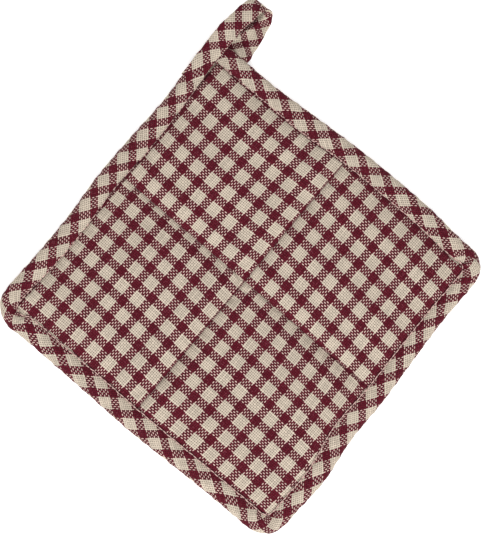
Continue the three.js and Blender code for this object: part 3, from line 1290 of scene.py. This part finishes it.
@dataclass
class FrontSettling:
    """Lets the front panel settle as cloth: pressed out by its filling and held by the sewing.

    A coarse copy of the front, made larger because the solver works best near a metre, is pinned
    along the quilting and under the binding, given some spare cloth, and blown up a little.

    Attributes:
        pad: The pad whose front settles.
        cells: Faces along each side of the copy.
        scale: How much larger the copy is than the pad.
        steps: Frames that it is given.
        fullness: Spare cloth, as a share of its length.
        pressure: Outward push of the filling.
        cap: Most that a point may move, in mm.
        held: Distance in from the binding's edge, in mm, up to which it is pinned.
        quality: The solver's steps in each frame.
        stiffness: How much the cloth holds against bending.
    """

    pad: QuiltedPad
    cells: int = 110
    scale: float = 10.0
    steps: int = 20
    fullness: float = 0.035
    pressure: float = 4.0
    cap: float = 1.1
    held: float = 0.6
    quality: int = 6
    stiffness: float = 2.0

    def start(self) -> tuple[Array, Array, Array]:
        """The copy before it settles.

        Returns:
            Its points in mm, which of them are pinned, and the places of its rows.
        """
        coarse = replace(self.pad, cells=self.cells)
        plan = coarse.plan()
        x, y = plan[..., 0], plan[..., 1]
        inside = self.pad.outline.edge_distances(x, y, 0.0).min(axis=0) > self.held
        pinned = ~inside
        pinned[self.cells // 2, :] = True
        pinned[:, self.cells // 2] = True
        return np.dstack([x, y, coarse.front(x, y)]), pinned, coarse.places()

    def blown(self, points: Array, pinned: Array) -> Array:
        """The copy's points after the cloth simulation, in mm. The copy is then deleted.

        Args:
            points: The copy's points before it.
            pinned: Which of them can't move.

        Returns:
            The points after it, in the same order.
        """
        n = self.cells + 1
        mesh = bpy.data.meshes.new("settling")
        quads = grid_quads(n, n)[:, ::-1]
        mesh.from_pydata((points.reshape(-1, 3) * MM * self.scale).tolist(), [], quads.tolist())
        copy = add_object("settling", mesh)
        group = copy.vertex_groups.new(name="sewn")
        group.add(np.flatnonzero(pinned.ravel()).tolist(), 1.0, "REPLACE")
        cloth = copy.modifiers.new("settling", "CLOTH")
        cloth.settings.vertex_group_mass = group.name
        cloth.settings.quality = self.quality
        cloth.settings.shrink_min = -self.fullness
        cloth.settings.bending_stiffness = self.stiffness
        cloth.settings.use_pressure = True
        cloth.settings.uniform_pressure_force = self.pressure
        cloth.settings.effector_weights.gravity = 0.0
        cloth.point_cache.frame_end = self.steps
        for step in range(1, self.steps + 1):
            bpy.context.scene.frame_set(step)
        shown = copy.evaluated_get(bpy.context.evaluated_depsgraph_get())
        moved = np.empty(3 * n * n, dtype=np.float32)
        shown.data.vertices.foreach_get("co", moved)
        bpy.context.scene.frame_set(1)
        bpy.data.objects.remove(copy)
        bpy.data.meshes.remove(mesh)
        return moved.reshape(n, n, 3).astype(float) / (MM * self.scale)

    def moves(self) -> Array:
        """How far each point of the pad's own grid moves, in mm.

        Each move m becomes m over 1 plus its length over the cap, so that none is past the cap. The
        pad's points lie between the copy's, and take the even mix of the four around them.

        Returns:
            The moves, one for each point of the front's grid.
        """
        points, pinned, coarse_places = self.start()
        move = self.blown(points, pinned) - points
        move = move / (1 + np.linalg.norm(move, axis=-1) / self.cap)[..., None]
        at = np.interp(self.pad.places(), coarse_places, np.arange(self.cells + 1.0))
        low = np.minimum(np.floor(at).astype(int), self.cells - 1)
        share = at - low
        rows = move[low] * (1 - share)[:, None, None] + move[low + 1] * share[:, None, None]
        return rows[:, low] * (1 - share)[None, :, None] + rows[:, low + 1] * share[None, :, None]


@dataclass(frozen=True)
class StripRun:
    """Cream diamonds of one stretch of the strip, evenly spread between its two ends.

    Attributes:
        first: Place of its first diamond along the strip.
        last: Place of its last one.
        insets: Distance in from the outer edge of each.
    """

    first: float
    last: float
    insets: tuple[float, ...]

    def diamonds(self) -> tuple[Diamond, ...]:
        """The stretch's diamonds in order."""
        places = np.linspace(self.first, self.last, len(self.insets))
        return tuple(Diamond(float(place), inset) for place, inset in zip(places, self.insets))


BINDING_RUNS = (
    StripRun(17.8, 102.0, (10.8, 10.9, 11.0, 11.0, 11.0, 10.7)),
    StripRun(119.9, 175.6, (10.3, 9.7, 8.8, 6.2)),
    StripRun(191.2, 191.2, (6.9,)),
    StripRun(211.4, 250.9, (6.5, 9.1, 9.8)),
    StripRun(269.1, 305.2, (9.8, 10.2, 10.4)),
    StripRun(324.3, 364.0, (10.4, 9.6, 6.9)),
    StripRun(376.5, 394.5, (3.8, 4.8)),
    StripRun(414.4, 466.5, (7.0, 7.0, 7.1, 8.2)),
    StripRun(484.7, 540.9, (8.6, 8.6, 8.4, 7.1)),
    StripRun(556.9, 574.2, (2.5, 3.4)),
    StripRun(594.1, 613.1, (5.2, 6.5)),
    StripRun(631.3, 684.3, (7.5, 7.4, 8.8, 8.8)),
    StripRun(702.7, 740.0, (8.0, 8.6, 9.0)),
)
BINDING_DIAMONDS = BiasLayout(tuple(d for run in BINDING_RUNS for d in run.diamonds()))
LOOP_RUN = StripRun(-43.3, -1.0, (7.0, 7.2, 8.2, 8.7))
LOOP_OUTER = BiasLayout(LOOP_RUN.diamonds() + BINDING_RUNS[0].diamonds()[:2])
LOOP_INNER = BiasLayout(StripRun(-72.9, -48.2, (6.7, 6.7, 6.7)).diamonds())


@dataclass
class Binding:
    """The bias-cut strip folded over the pad's raw edge and sewn through along its inner edges.

    Attributes:
        outline: The pad's outline.
        press: How the corner under the loop is pressed.
        diamonds: The check's layout on the strip.
        width: Usual width seen from above.
        section: The fold's section where it has its usual width: distance in from the outline,
            height, and the share of the height that gives way under the loop. It goes from the
            front leaf's inner edge over the outer fold to the back leaf and back in the pocket.
        cut: Width that the strip is cut to, without what is turned in out of sight. It is not used.
        round_section: Points round the section.
        steps_a_station: Rings of points for each station of the outline.
        start: Station where the strip starts and ends, at the corner under the loop.
        bend_radius: Radius of the strip's middle line round a corner.
        front_from: Height from which the section takes the ripples and the press.
        drawn_from: Distances in over which the sewing's pull comes in.
        ripple: Height of the slanting ripples.
        ripple_length: Usual distance from one to the next.
        ripple_slant: How far they slant along the strip for each millimetre in.
        pucker: Height of the puckers round a corner's inner edge.
        pucker_length: Distance from one to the next.
        mitre: Height of the step where the strip is lapped over itself at a corner.
        mitre_lean: How far the lap's line leans, from the outer edge to the inner one.
        mitre_reach: How far the lap's height reaches along the strip.
        mitre_groove: Half the width of the groove along its line.
        wander: How far the binding's outer edge wanders in and out.
        wander_length: Usual distance over which it does.
    """

    outline: PadOutline
    press: CornerPress
    diamonds: BiasLayout
    width: float = 11.4
    section: tuple[tuple[float, float, float], ...] = (
        (11.4, 4.6, 1.0),
        (11.1, 5.0, 1.0),
        (10.2, 5.2, 1.0),
        (8.8, 5.9, 1.0),
        (6.8, 6.2, 1.0),
        (4.6, 6.2, 1.0),
        (2.4, 5.7, 1.0),
        (0.9, 4.8, 0.8),
        (0.1, 3.5, 0.5),
        (0.1, 2.2, 0.3),
        (0.9, 0.8, 0.0),
        (2.4, 0.1, 0.0),
        (5.0, 0.0, 0.0),
        (8.6, 0.0, 0.0),
        (10.9, 0.1, 0.0),
        (11.4, 0.6, 0.0),
        (10.9, 1.1, 0.0),
        (8.0, 1.1, 0.0),
        (3.2, 1.4, 0.0),
        (1.6, 3.0, 0.5),
        (3.2, 4.7, 1.0),
        (7.0, 4.8, 1.0),
        (10.9, 4.2, 1.0),
    )
    cut: float = 32.0
    round_section: int = 52
    steps_a_station: int = 26
    start: float = 16.0
    bend_radius: float = 11.9
    front_from: float = 2.0
    drawn_from: tuple[float, float] = (1.5, 9.0)
    ripple: float = 0.24
    ripple_length: float = 9.5
    ripple_slant: float = 0.55
    pucker: float = 0.3
    pucker_length: float = 4.1
    mitre: float = 0.9
    mitre_lean: float = 1.5
    mitre_reach: float = 5.0
    mitre_groove: float = 0.6
    wander: float = 0.28
    wander_length: float = 6.5

    def strip_length(self, station: Array) -> Array:
        """Distance along the strip's middle line, from the corner under the loop.

        It is the whole sides passed, the gaps passed on this side's straight run, and the corners'
        arc for the stations passed round them.

        Args:
            station: Places round the outline.

        Returns:
            The distance at each place.
        """
        past = station - self.start
        side, step = np.floor(past / self.outline.a_side), np.mod(past, self.outline.a_side)
        corner = self.bend_radius * math.pi / 4
        run = (self.outline.a_side - 2) * self.outline.gap
        straight = np.clip(step - 1, 0, self.outline.a_side - 2) * self.outline.gap
        turned = np.minimum(step, 1) + np.maximum(step - self.outline.a_side + 1, 0)
        within = straight + turned * corner
        return side * (run + 2 * corner) + within

    def rounded_section(self) -> tuple[Array, Array]:
        """The section as a smooth closed curve: a cubic through its knots, placed by their chords.

        Returns:
            The curve's points, and the length of cloth passed at each of them and at the end.
        """
        knots = np.array(self.section)
        closed = np.concatenate([knots[-3:], knots, knots[:4]])
        places = passed_along(closed[:, :2])
        at = np.linspace(places[3], places[3 + len(knots)], self.round_section + 1)
        curve = cubic_through(places, closed, at)
        return curve[:-1], passed_along(curve[:, :2])

    def wrinkles(self, station: Array, inset: Array) -> Array:
        """Small slanting ripples drawn up by the sewing, puckers round the corners, and the mitres.

        A mitre is a step that falls off along the strip, with a groove along its leaning line.

        Args:
            station: Places round the outline.
            inset: Distances in from it.

        Returns:
            How far the front leaf stands up at each place.
        """
        along = self.strip_length(station)
        drawn = smooth_step(*self.drawn_from, inset)
        step = np.mod(station, self.outline.a_side)
        corner = np.clip(1 - np.minimum(step, self.outline.a_side - step), 0, 1)
        slanting = along + self.ripple_slant * inset
        ripples = self.ripple * waver(slanting, self.ripple_length, 0.7) * (0.35 + 0.65 * drawn)
        puckers = self.pucker * np.sin(2 * math.pi * along / self.pucker_length + 0.8) * corner * drawn
        corner_station = np.round(station / self.outline.a_side) * self.outline.a_side
        from_mitre = along - self.strip_length(corner_station)
        off = from_mitre * (1 - 0.5 * inset / self.width) + self.mitre_lean * (inset / self.width - 0.5)
        stepped = smooth_step(-0.4, 0.4, off) * np.exp(-np.maximum(off, 0) / self.mitre_reach)
        lap = self.mitre * (stepped - 0.8 * bell(off, self.mitre_groove))
        return ripples + puckers - lap * corner

    def build(self, shop: Workshop, cloth: bpy.types.Material) -> Any:
        """Makes the binding: its section carried round the outline, closed on itself.

        Args:
            shop: Makes the piece.
            cloth: Its material.

        Returns:
            The binding's object.
        """
        curve, passed = self.rounded_section()
        count = self.steps_a_station * self.outline.stations
        station = self.start + np.arange(count + 1) / self.steps_a_station
        widening = self.outline.bound(station) / self.width
        inset = curve[None, :, 0] * widening[:, None]
        front = np.clip(curve[None, :, 2], 0, 1) * (curve[None, :, 1] > self.front_from)
        uneven = self.wander * waver(self.strip_length(station), self.wander_length, 2.4)[:, None]
        uneven = uneven * (1 - curve[None, :, 0] / self.width)
        place = self.outline.point(station[:, None], inset + uneven)
        x, y = place[..., 0], place[..., 1]
        z = curve[None, :, 1] + self.wrinkles(station[:, None], inset) * front
        z = np.maximum(z - front * self.press.at(x, y), 0.0)
        points = np.dstack([x, y, z])[:-1].reshape(-1, 3)
        columns = len(curve)
        quads = grid_quads(count, columns, rows_close=True, columns_close=True)
        strip_inset = (self.width - passed)[None, :] * widening[:, None]
        along = np.broadcast_to(self.strip_length(station)[:, None], strip_inset.shape)
        threads = self.diamonds.threads_at(along, strip_inset)
        threads = threads.reshape(-1, 2)[grid_quads(count + 1, columns + 1)]
        made = shop.piece("bias_binding", points, quads, threads, cloth)
        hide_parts("binding")
        return made


@dataclass(frozen=True)
class StripPlace:
    """A place on the loop's middle line, with the strip's size and tilt there.

    Attributes:
        x: Place across.
        y: Place up.
        z: Height.
        width: The strip's width.
        thick: Its thickness.
        lift: How far its right edge is raised, for each millimetre to the right.
    """

    x: float
    y: float
    z: float
    width: float
    thick: float
    lift: float


@dataclass
class HangingLoop:
    """The strip's tail, folded lengthwise, turned back over the corner and sewn in at its end.

    Attributes:
        outer_diamonds: The check's layout on the face that lies up at the front.
        inner_diamonds: The layout on the other face, which shows on the leg that comes back.
        path: Its middle line, from the corner that it lies on, over the tip and back underneath.
        cut: Width of the tape that it is made of, which is sewn flat before it is put on. It is not used.
        tip: Where along the path its tip is.
        ridge: Height of the slanting ridge that the turn raises in the leg that comes back.
        ridge_run: How far along the leg the ridge runs.
        ridge_start: Where across the leg it starts, from -1 to 1.
        ridge_end: Where across the leg it ends.
        ridge_width: How wide it is, in the same measure.
        trough: Depth of the trough on its left, as a share of its height.
        tuck: How far the leg's inner edge is tucked down, close to where it is sewn in.
        squareness: The section's power: 1 is an oval, and less than 1 is squarer.
        edge_wave: Height of the waves along the strip's edges.
        edge_wave_length: Usual distance from one to the next.
        face_wave: Height of the slanting waves over its faces.
        face_wave_length: Usual distance from one to the next.
        wander: How far its edges wander in and out.
        wander_length: Usual distance over which they do.
        rings: Rings of points along it.
        across_cells: Faces across each of its two faces.
        strip_start: Place of the path's first point along the binding's strip.
    """

    outer_diamonds: BiasLayout
    inner_diamonds: BiasLayout
    path: tuple[StripPlace, ...] = (
        StripPlace(-95.6, 74.0, 5.6, 11.2, 0.7, 0),
        StripPlace(-95.7, 80.0, 5.6, 11.2, 1.0, 0),
        StripPlace(-96.0, 86.0, 5.9, 11.0, 1.6, 0),
        StripPlace(-96.0, 93.0, 6.15, 11.0, 1.8, 0),
        StripPlace(-95.8, 99.5, 6.9, 11.5, 1.8, 0),
        StripPlace(-95.6, 105.0, 8.3, 11.8, 1.8, 0),
        StripPlace(-95.3, 111.0, 9.5, 11.4, 1.8, 0.05),
        StripPlace(-94.4, 117.5, 10.1, 11.0, 1.8, 0.1),
        StripPlace(-93.4, 123.5, 9.9, 11.4, 1.8, 0.15),
        StripPlace(-92.4, 128.6, 8.9, 11.4, 1.8, 0.25),
        StripPlace(-90.4, 131.5, 7.0, 11.2, 1.8, 0.35),
        StripPlace(-88.0, 131.6, 4.7, 11.6, 1.8, 0.3),
        StripPlace(-86.2, 128.6, 2.6, 12.2, 1.8, 0.15),
        StripPlace(-85.1, 123.0, 1.35, 12.8, 1.8, 0),
        StripPlace(-84.5, 115.0, 1.1, 14.4, 1.8, 0),
        StripPlace(-84.2, 108.0, 1.5, 15.2, 1.8, 0),
        StripPlace(-83.7, 103.0, 2.9, 15.4, 1.8, 0),
        StripPlace(-83.4, 99.5, 2.9, 15.0, 1.4, 0),
    )
    cut: float = 14.0
    tip: float = 62.0
    ridge: float = 2.8
    ridge_run: float = 24.0
    ridge_start: float = 0.5
    ridge_end: float = -0.75
    ridge_width: float = 0.22
    trough: float = 0.4
    tuck: float = 2.7
    squareness: float = 0.7
    edge_wave: float = 0.22
    edge_wave_length: float = 9.0
    face_wave: float = 0.16
    face_wave_length: float = 8.0
    wander: float = 0.25
    wander_length: float = 7.0
    rings: int = 190
    across_cells: int = 22
    strip_start: float = 19.3

    def outward(self, at: Array, side: Array, half_thick: Array) -> Array:
        """How far each point of the section stands out from the middle line's plane.

        It is half the thickness, with the waves added. The leg that comes back is turned over, so
        that out is down: there the slanting ridge, a bell about its line less one for the trough,
        is taken away, and the tuck of its inner edge is added.

        Args:
            at: Places along the path, one a row.
            side: Places across the section from -1 to 1, one a column.
            half_thick: The rounded section's height over the plane.

        Returns:
            The distance out, one row for each ring.
        """
        wave = self.edge_wave * waver(at, self.edge_wave_length, 1.3) * (side * side)
        slanting = self.face_wave * waver(at + 5 * side, self.face_wave_length, 3.7)
        plain = half_thick + wave + slanting
        returned = (at - self.tip) / self.ridge_run
        ridge_side = self.ridge_start + (self.ridge_end - self.ridge_start) * returned
        off_ridge = (side - ridge_side) / self.ridge_width
        ridge = bell(off_ridge, 1.0) - self.trough * bell(off_ridge + 1.5, 0.7)
        shown = smooth_step(-0.1, 0.3, returned) * (1 - smooth_step(0.9, 1.3, returned))
        tucked = self.tuck * smooth_step(0.7, 1.1, returned) * smooth_step(-0.2, 0.75, -side)
        return plain - self.ridge * shown * ridge + tucked

    def build(self, shop: Workshop, cloth: bpy.types.Material) -> Any:
        """Makes the loop: a flat folded tube carried along its path.

        The section is an oval squeezed square, the cosine to a power less than 1 across and the
        sine up, so that its edges are round and its faces nearly flat.

        Args:
            shop: Makes the piece.
            cloth: Its material.

        Returns:
            The loop's object.
        """
        rows = np.array([[p.x, p.y, p.z, p.width, p.thick, p.lift] for p in self.path])
        knots = passed_along(rows[:, :3])
        at = np.linspace(0, knots[-1], self.rings)
        line = cubic_through(knots, rows, at)
        middle, width, thick, lift = line[:, :3], line[:, 3], line[:, 4], line[:, 5]
        tangent = unit(np.gradient(middle, at, axis=0))
        across = np.stack([np.ones_like(lift), np.zeros_like(lift), lift], axis=1)
        across = unit(across - tangent * (across * tangent).sum(axis=1)[:, None])
        up = np.cross(across, tangent)
        half = self.across_cells
        angle = math.pi - np.arange(2 * half) * math.pi / half
        side = np.sign(np.cos(angle)) * np.abs(np.cos(angle)) ** self.squareness
        half_thick = np.sin(angle)[None, :] * thick[:, None] / 2
        outward = self.outward(at[:, None], side[None, :], half_thick)
        edge = side[None, :] * (width / 2 + self.wander * waver(at, self.wander_length, 0.4))[:, None]
        points = middle[:, None, :] + across[:, None, :] * edge[..., None]
        points = points + up[:, None, :] * outward[..., None]
        points[..., 2] = np.maximum(points[..., 2], 0.0)
        columns = 2 * half
        quads = grid_quads(self.rings, columns, columns_close=True)
        cap = cap_quads(self.rings, columns)
        along = np.broadcast_to((self.strip_start - at)[:, None], edge.shape)
        inset = np.maximum(width[:, None] / 2 + edge, 0.0)
        from_right = np.maximum(width[:, None] / 2 - edge, 0.0)
        outer = self.outer_diamonds.threads_at(along, inset).reshape(-1, 2)
        inner = self.inner_diamonds.threads_at(along, from_right).reshape(-1, 2)
        column = np.tile(np.arange(columns), self.rings - 1)
        is_outer = (column < half)[:, None, None]
        threads = np.concatenate([np.where(is_outer, outer[quads], inner[quads]), inner[cap]])
        faces = np.concatenate([quads, cap])
        made = shop.piece("hanging_loop", points.reshape(-1, 3), faces, threads, cloth)
        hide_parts("loop")
        return made


@dataclass
class EdgeStitching:
    """The run of machine stitches that holds the binding, close beside its inner edge.

    Attributes:
        outline: The pad's outline.
        press: How the corner under the loop is pressed.
        cotton: The thread.
        inset_past: How far inside the binding's edge the stitches lie.
        heights: Heights of the thread's middle at the middles of the right, top, left and bottom
            edges. It is drawn in deeper where the cloth closes over it.
        sink: How far a stitch's ends go down into the cloth.
        stitch: Length of one stitch.
        pitch: Distance from stitch to stitch.
        thread: Thickness of the thread.
        wander: How far the line wanders to each side.
        rise: How far it rises and falls with the cloth.
        flat_top: Power of a stitch's arch. Less than 1 is flatter on top.
        taper: Power with which its thickness goes down towards the ends.
        sides: Points round the thread.
        rings: Rings of points along a stitch.
    """

    outline: PadOutline
    press: CornerPress
    cotton: SewingCotton
    inset_past: float = -0.1
    heights: tuple[float, float, float, float] = (5.5, 4.7, 4.5, 5.3)
    sink: float = 0.6
    stitch: float = 3.0
    pitch: float = 3.15
    thread: float = 0.55
    wander: float = 0.2
    rise: float = 0.15
    flat_top: float = 0.6
    taper: float = 0.35
    sides: int = 6
    rings: int = 7

    def build(self, shop: Workshop) -> Any:
        """Makes the stitches: each a short rod that dips into the cloth at both ends.

        A stitch's arch is half a sine wave to a power less than 1, so that it is nearly flat on
        top, and its thickness falls off towards the ends in the same way.

        Args:
            shop: Makes the piece.

        Returns:
            The stitches' object.
        """
        station = np.linspace(0.0, self.outline.stations, 6001)
        inset = self.outline.bound(station) + self.inset_past
        line = self.outline.point(station, inset)
        passed = passed_along(line)
        count = int(passed[-1] / self.pitch)
        start = np.arange(count) * (passed[-1] / count)
        share = np.linspace(0, 1, self.rings)
        place = start[:, None] + share[None, :] * self.stitch

        # It wanders every 7 mm across and every 7.3 mm up, so that the two don't keep step
        x = np.interp(place, passed, line[:, 0]) + self.wander * waver(place, 7.0, 0.6)
        y = np.interp(place, passed, line[:, 1]) + self.wander * waver(place, 7.3, 2.0)
        arch = np.sin(math.pi * share)[None, :] ** self.flat_top

        # Heights at the middles of the sides, from the one before the first to the one after the last
        sides_passed = np.interp(place, passed, station) / self.outline.a_side
        height = np.interp(sides_passed, np.arange(-0.5, 5.0), np.roll(self.heights * 2, 1)[:6])
        z = height - self.sink + self.sink * arch - self.press.at(x, y)
        z = z + self.rise * waver(place, 11.0, 3.0)
        middle = np.stack([x, y, z], axis=-1)
        tangent = unit(np.gradient(middle, axis=1))
        sideways = unit(np.cross(np.array([0.0, 0.0, 1.0]), tangent))
        upwards = np.cross(tangent, sideways)
        turn = np.arange(self.sides) * 2 * math.pi / self.sides
        along_it = np.clip(share, 0.04, 0.96)
        radius = self.thread / 2 * np.clip(np.sin(math.pi * along_it) ** self.taper, 0.2, 1)
        ring = sideways[:, :, None, :] * np.cos(turn)[None, None, :, None]
        ring = ring + upwards[:, :, None, :] * np.sin(turn)[None, None, :, None]
        points = middle[:, :, None, :] + ring * radius[None, :, None, None]
        tube = grid_quads(self.rings, self.sides, columns_close=True)
        one = np.concatenate([tube, cap_quads(self.rings, self.sides)])
        quads = (np.arange(count)[:, None, None] * self.rings * self.sides + one[None]).reshape(-1, 4)
        along = place[:, :, None] / self.cotton.ply_length
        round_it = (turn * self.cotton.plies / (2 * math.pi))[None, None, :]
        plies = np.stack(np.broadcast_arrays(along, round_it), axis=-1).reshape(-1, 2)[quads]
        cotton = self.cotton.material()
        return shop.piece("edge_stitching", points.reshape(-1, 3), quads, plies, cotton)


@dataclass
class Studio:
    """A pale floor, soft light from all round and a camera straight above the pot holder.

    Attributes:
        shop: Gives the pad's place in the part's frame.
        image: The picture's width and height, in pixels.
        pad_middle: Where the pad's middle is in the picture, in pixels.
        roll: How far the part's +Y is turned from the picture's right, in degrees.
        pixel: Size of a pixel at the pad's front, in mm.
        distance: The camera's height above the pad's front, in m.
        front: Height of the pad's front, in mm.
        surround: Strength of the even light from all round.
        lamp_watts: Power of the lamp.
        lamp_size: Its width, in m.
        lamp_off: How far out it stands, in m, towards the picture's foot.
        lamp_up: How high it stands, in m.
        table_glow: Strength of the light that comes up through the table.
        table_tooth: Size of the grain of its matt surface, in mm.
        table_reach: Half the table's width, in m.
    """

    shop: Workshop
    image: tuple[int, int] = (482, 536)
    pad_middle: tuple[float, float] = (241.0, 289.0)
    roll: float = 51.6
    pixel: float = 0.5613
    distance: float = 1.6
    front: float = 6.5
    surround: float = 0.92
    lamp_watts: float = 26.0
    lamp_size: float = 1.2
    lamp_off: float = 1.4
    lamp_up: float = 1.2
    table_glow: float = 0.4
    table_tooth: float = 1.111
    table_reach: float = 4.0

    def camera(self) -> None:
        """Puts the camera above the picture's centre, turned so that +Y lies at its roll.

        The lens is the sensor's width times the distance, over the picture's longer side in the
        scene. The picture's centre is the pad's middle and the pixels between them, turned too.
        """
        turn = math.radians(90 - self.roll)
        right = np.array([math.cos(turn), math.sin(turn)])
        up = np.array([-math.sin(turn), math.cos(turn)])
        off = np.array([self.image[0] / 2 - self.pad_middle[0], self.pad_middle[1] - self.image[1] / 2])
        aim = self.shop.shift[:2] + self.pixel * (off[0] * right + off[1] * up)
        data = bpy.data.cameras.new("overhead")
        data.sensor_width = 36.0
        data.lens = data.sensor_width * self.distance / (max(self.image) * self.pixel * MM)
        camera = add_object("overhead", data)
        camera.location = (aim[0] * MM, aim[1] * MM, self.distance + self.front * MM)
        camera.rotation_euler = (0.0, 0.0, turn)
        bpy.context.scene.camera = camera

    def floor(self) -> None:
        """Makes the table: a matt white acrylic sheet, lit from below so that shadows stay faint."""
        sheet, tree = blank_material("Matt opal acrylic, lit from below")
        place = add_node(tree, "ShaderNodeTexCoord", {}, {}).outputs["Object"]
        grain = {"Vector": place, "Scale": to_a_metre(self.table_tooth), "Detail": 2.0}
        tooth = add_node(tree, "ShaderNodeTexNoise", {}, grain)
        relief = {"Strength": 0.1, "Distance": 0.1 * MM, "Height": tooth.outputs[0]}
        bump = add_node(tree, "ShaderNodeBump", {}, relief)
        surface = add_node(
            tree,
            "ShaderNodeBsdfPrincipled",
            {},
            {
                "Base Color": srgb("#f6f6f5"),
                "Roughness": 0.9,
                "Emission Color": srgb("#ffffff"),
                "Emission Strength": self.table_glow,
                "Normal": bump.outputs[0],
            },
        )
        add_node(tree, "ShaderNodeOutputMaterial", {}, {"Surface": surface.outputs[0]})
        mesh = bpy.data.meshes.new("table")
        reach = self.table_reach
        corners = [(-reach, -reach, 0), (reach, -reach, 0), (reach, reach, 0), (-reach, reach, 0)]
        mesh.from_pydata(corners, [], [(0, 1, 2, 3)])
        mesh.materials.append(sheet)
        add_object("table", mesh)

    def lights(self) -> None:
        """Lights the scene: an even pale surround and a broad soft lamp from the picture's foot."""
        world = bpy.data.worlds.new("soft surround")
        world.use_nodes = True
        light = world.node_tree.nodes["Background"].inputs
        light[0].default_value = srgb("#ffffff")
        light[1].default_value = self.surround
        bpy.context.scene.world = world
        turn = math.radians(-self.roll)
        data = bpy.data.lights.new("broad lamp", "AREA")
        data.shape = "DISK"
        data.size = self.lamp_size
        data.energy = self.lamp_watts
        lamp = add_object("broad lamp", data)
        lamp.location = (self.lamp_off * math.cos(turn), self.lamp_off * math.sin(turn), self.lamp_up)
        lamp.rotation_euler = (0.0, math.atan2(self.lamp_off, self.lamp_up), turn)

    def build(self) -> None:
        """Sets the scene up, with colours shown as they are and no film curve."""
        self.camera()
        self.floor()
        self.lights()
        bpy.context.scene.view_settings.view_transform = "Standard"


def main() -> None:
    """Builds the pot holder and its setting, and reports each piece."""
    logging.basicConfig(level=logging.INFO, format="%(name)s: %(message)s")
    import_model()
    outline = PadOutline()
    quilting = Quilting()
    press = CornerPress()
    corner = outline.point(np.arange(float(outline.stations)), np.array(0.0)).min(axis=0)
    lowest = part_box("binding")[0]
    shop = Workshop(shift=np.array(lowest[:2]) / MM - corner)
    log.info("pad's middle at %s mm", np.round(shop.shift, 3))
    Studio(shop).build()
    straight = CheckedHomespun("Checked homespun cotton, straight grain").material()
    bias = CheckedHomespun("Checked homespun cotton, bias cut").material()
    pad = QuiltedPad(outline, quilting, press)
    pad.build(shop, straight, FrontSettling(pad).moves())
    Binding(outline, press, BINDING_DIAMONDS).build(shop, bias)
    HangingLoop(LOOP_OUTER, LOOP_INNER).build(shop, bias)
    EdgeStitching(outline, press, SewingCotton()).build(shop)


if __name__ == "__main__":
    main()
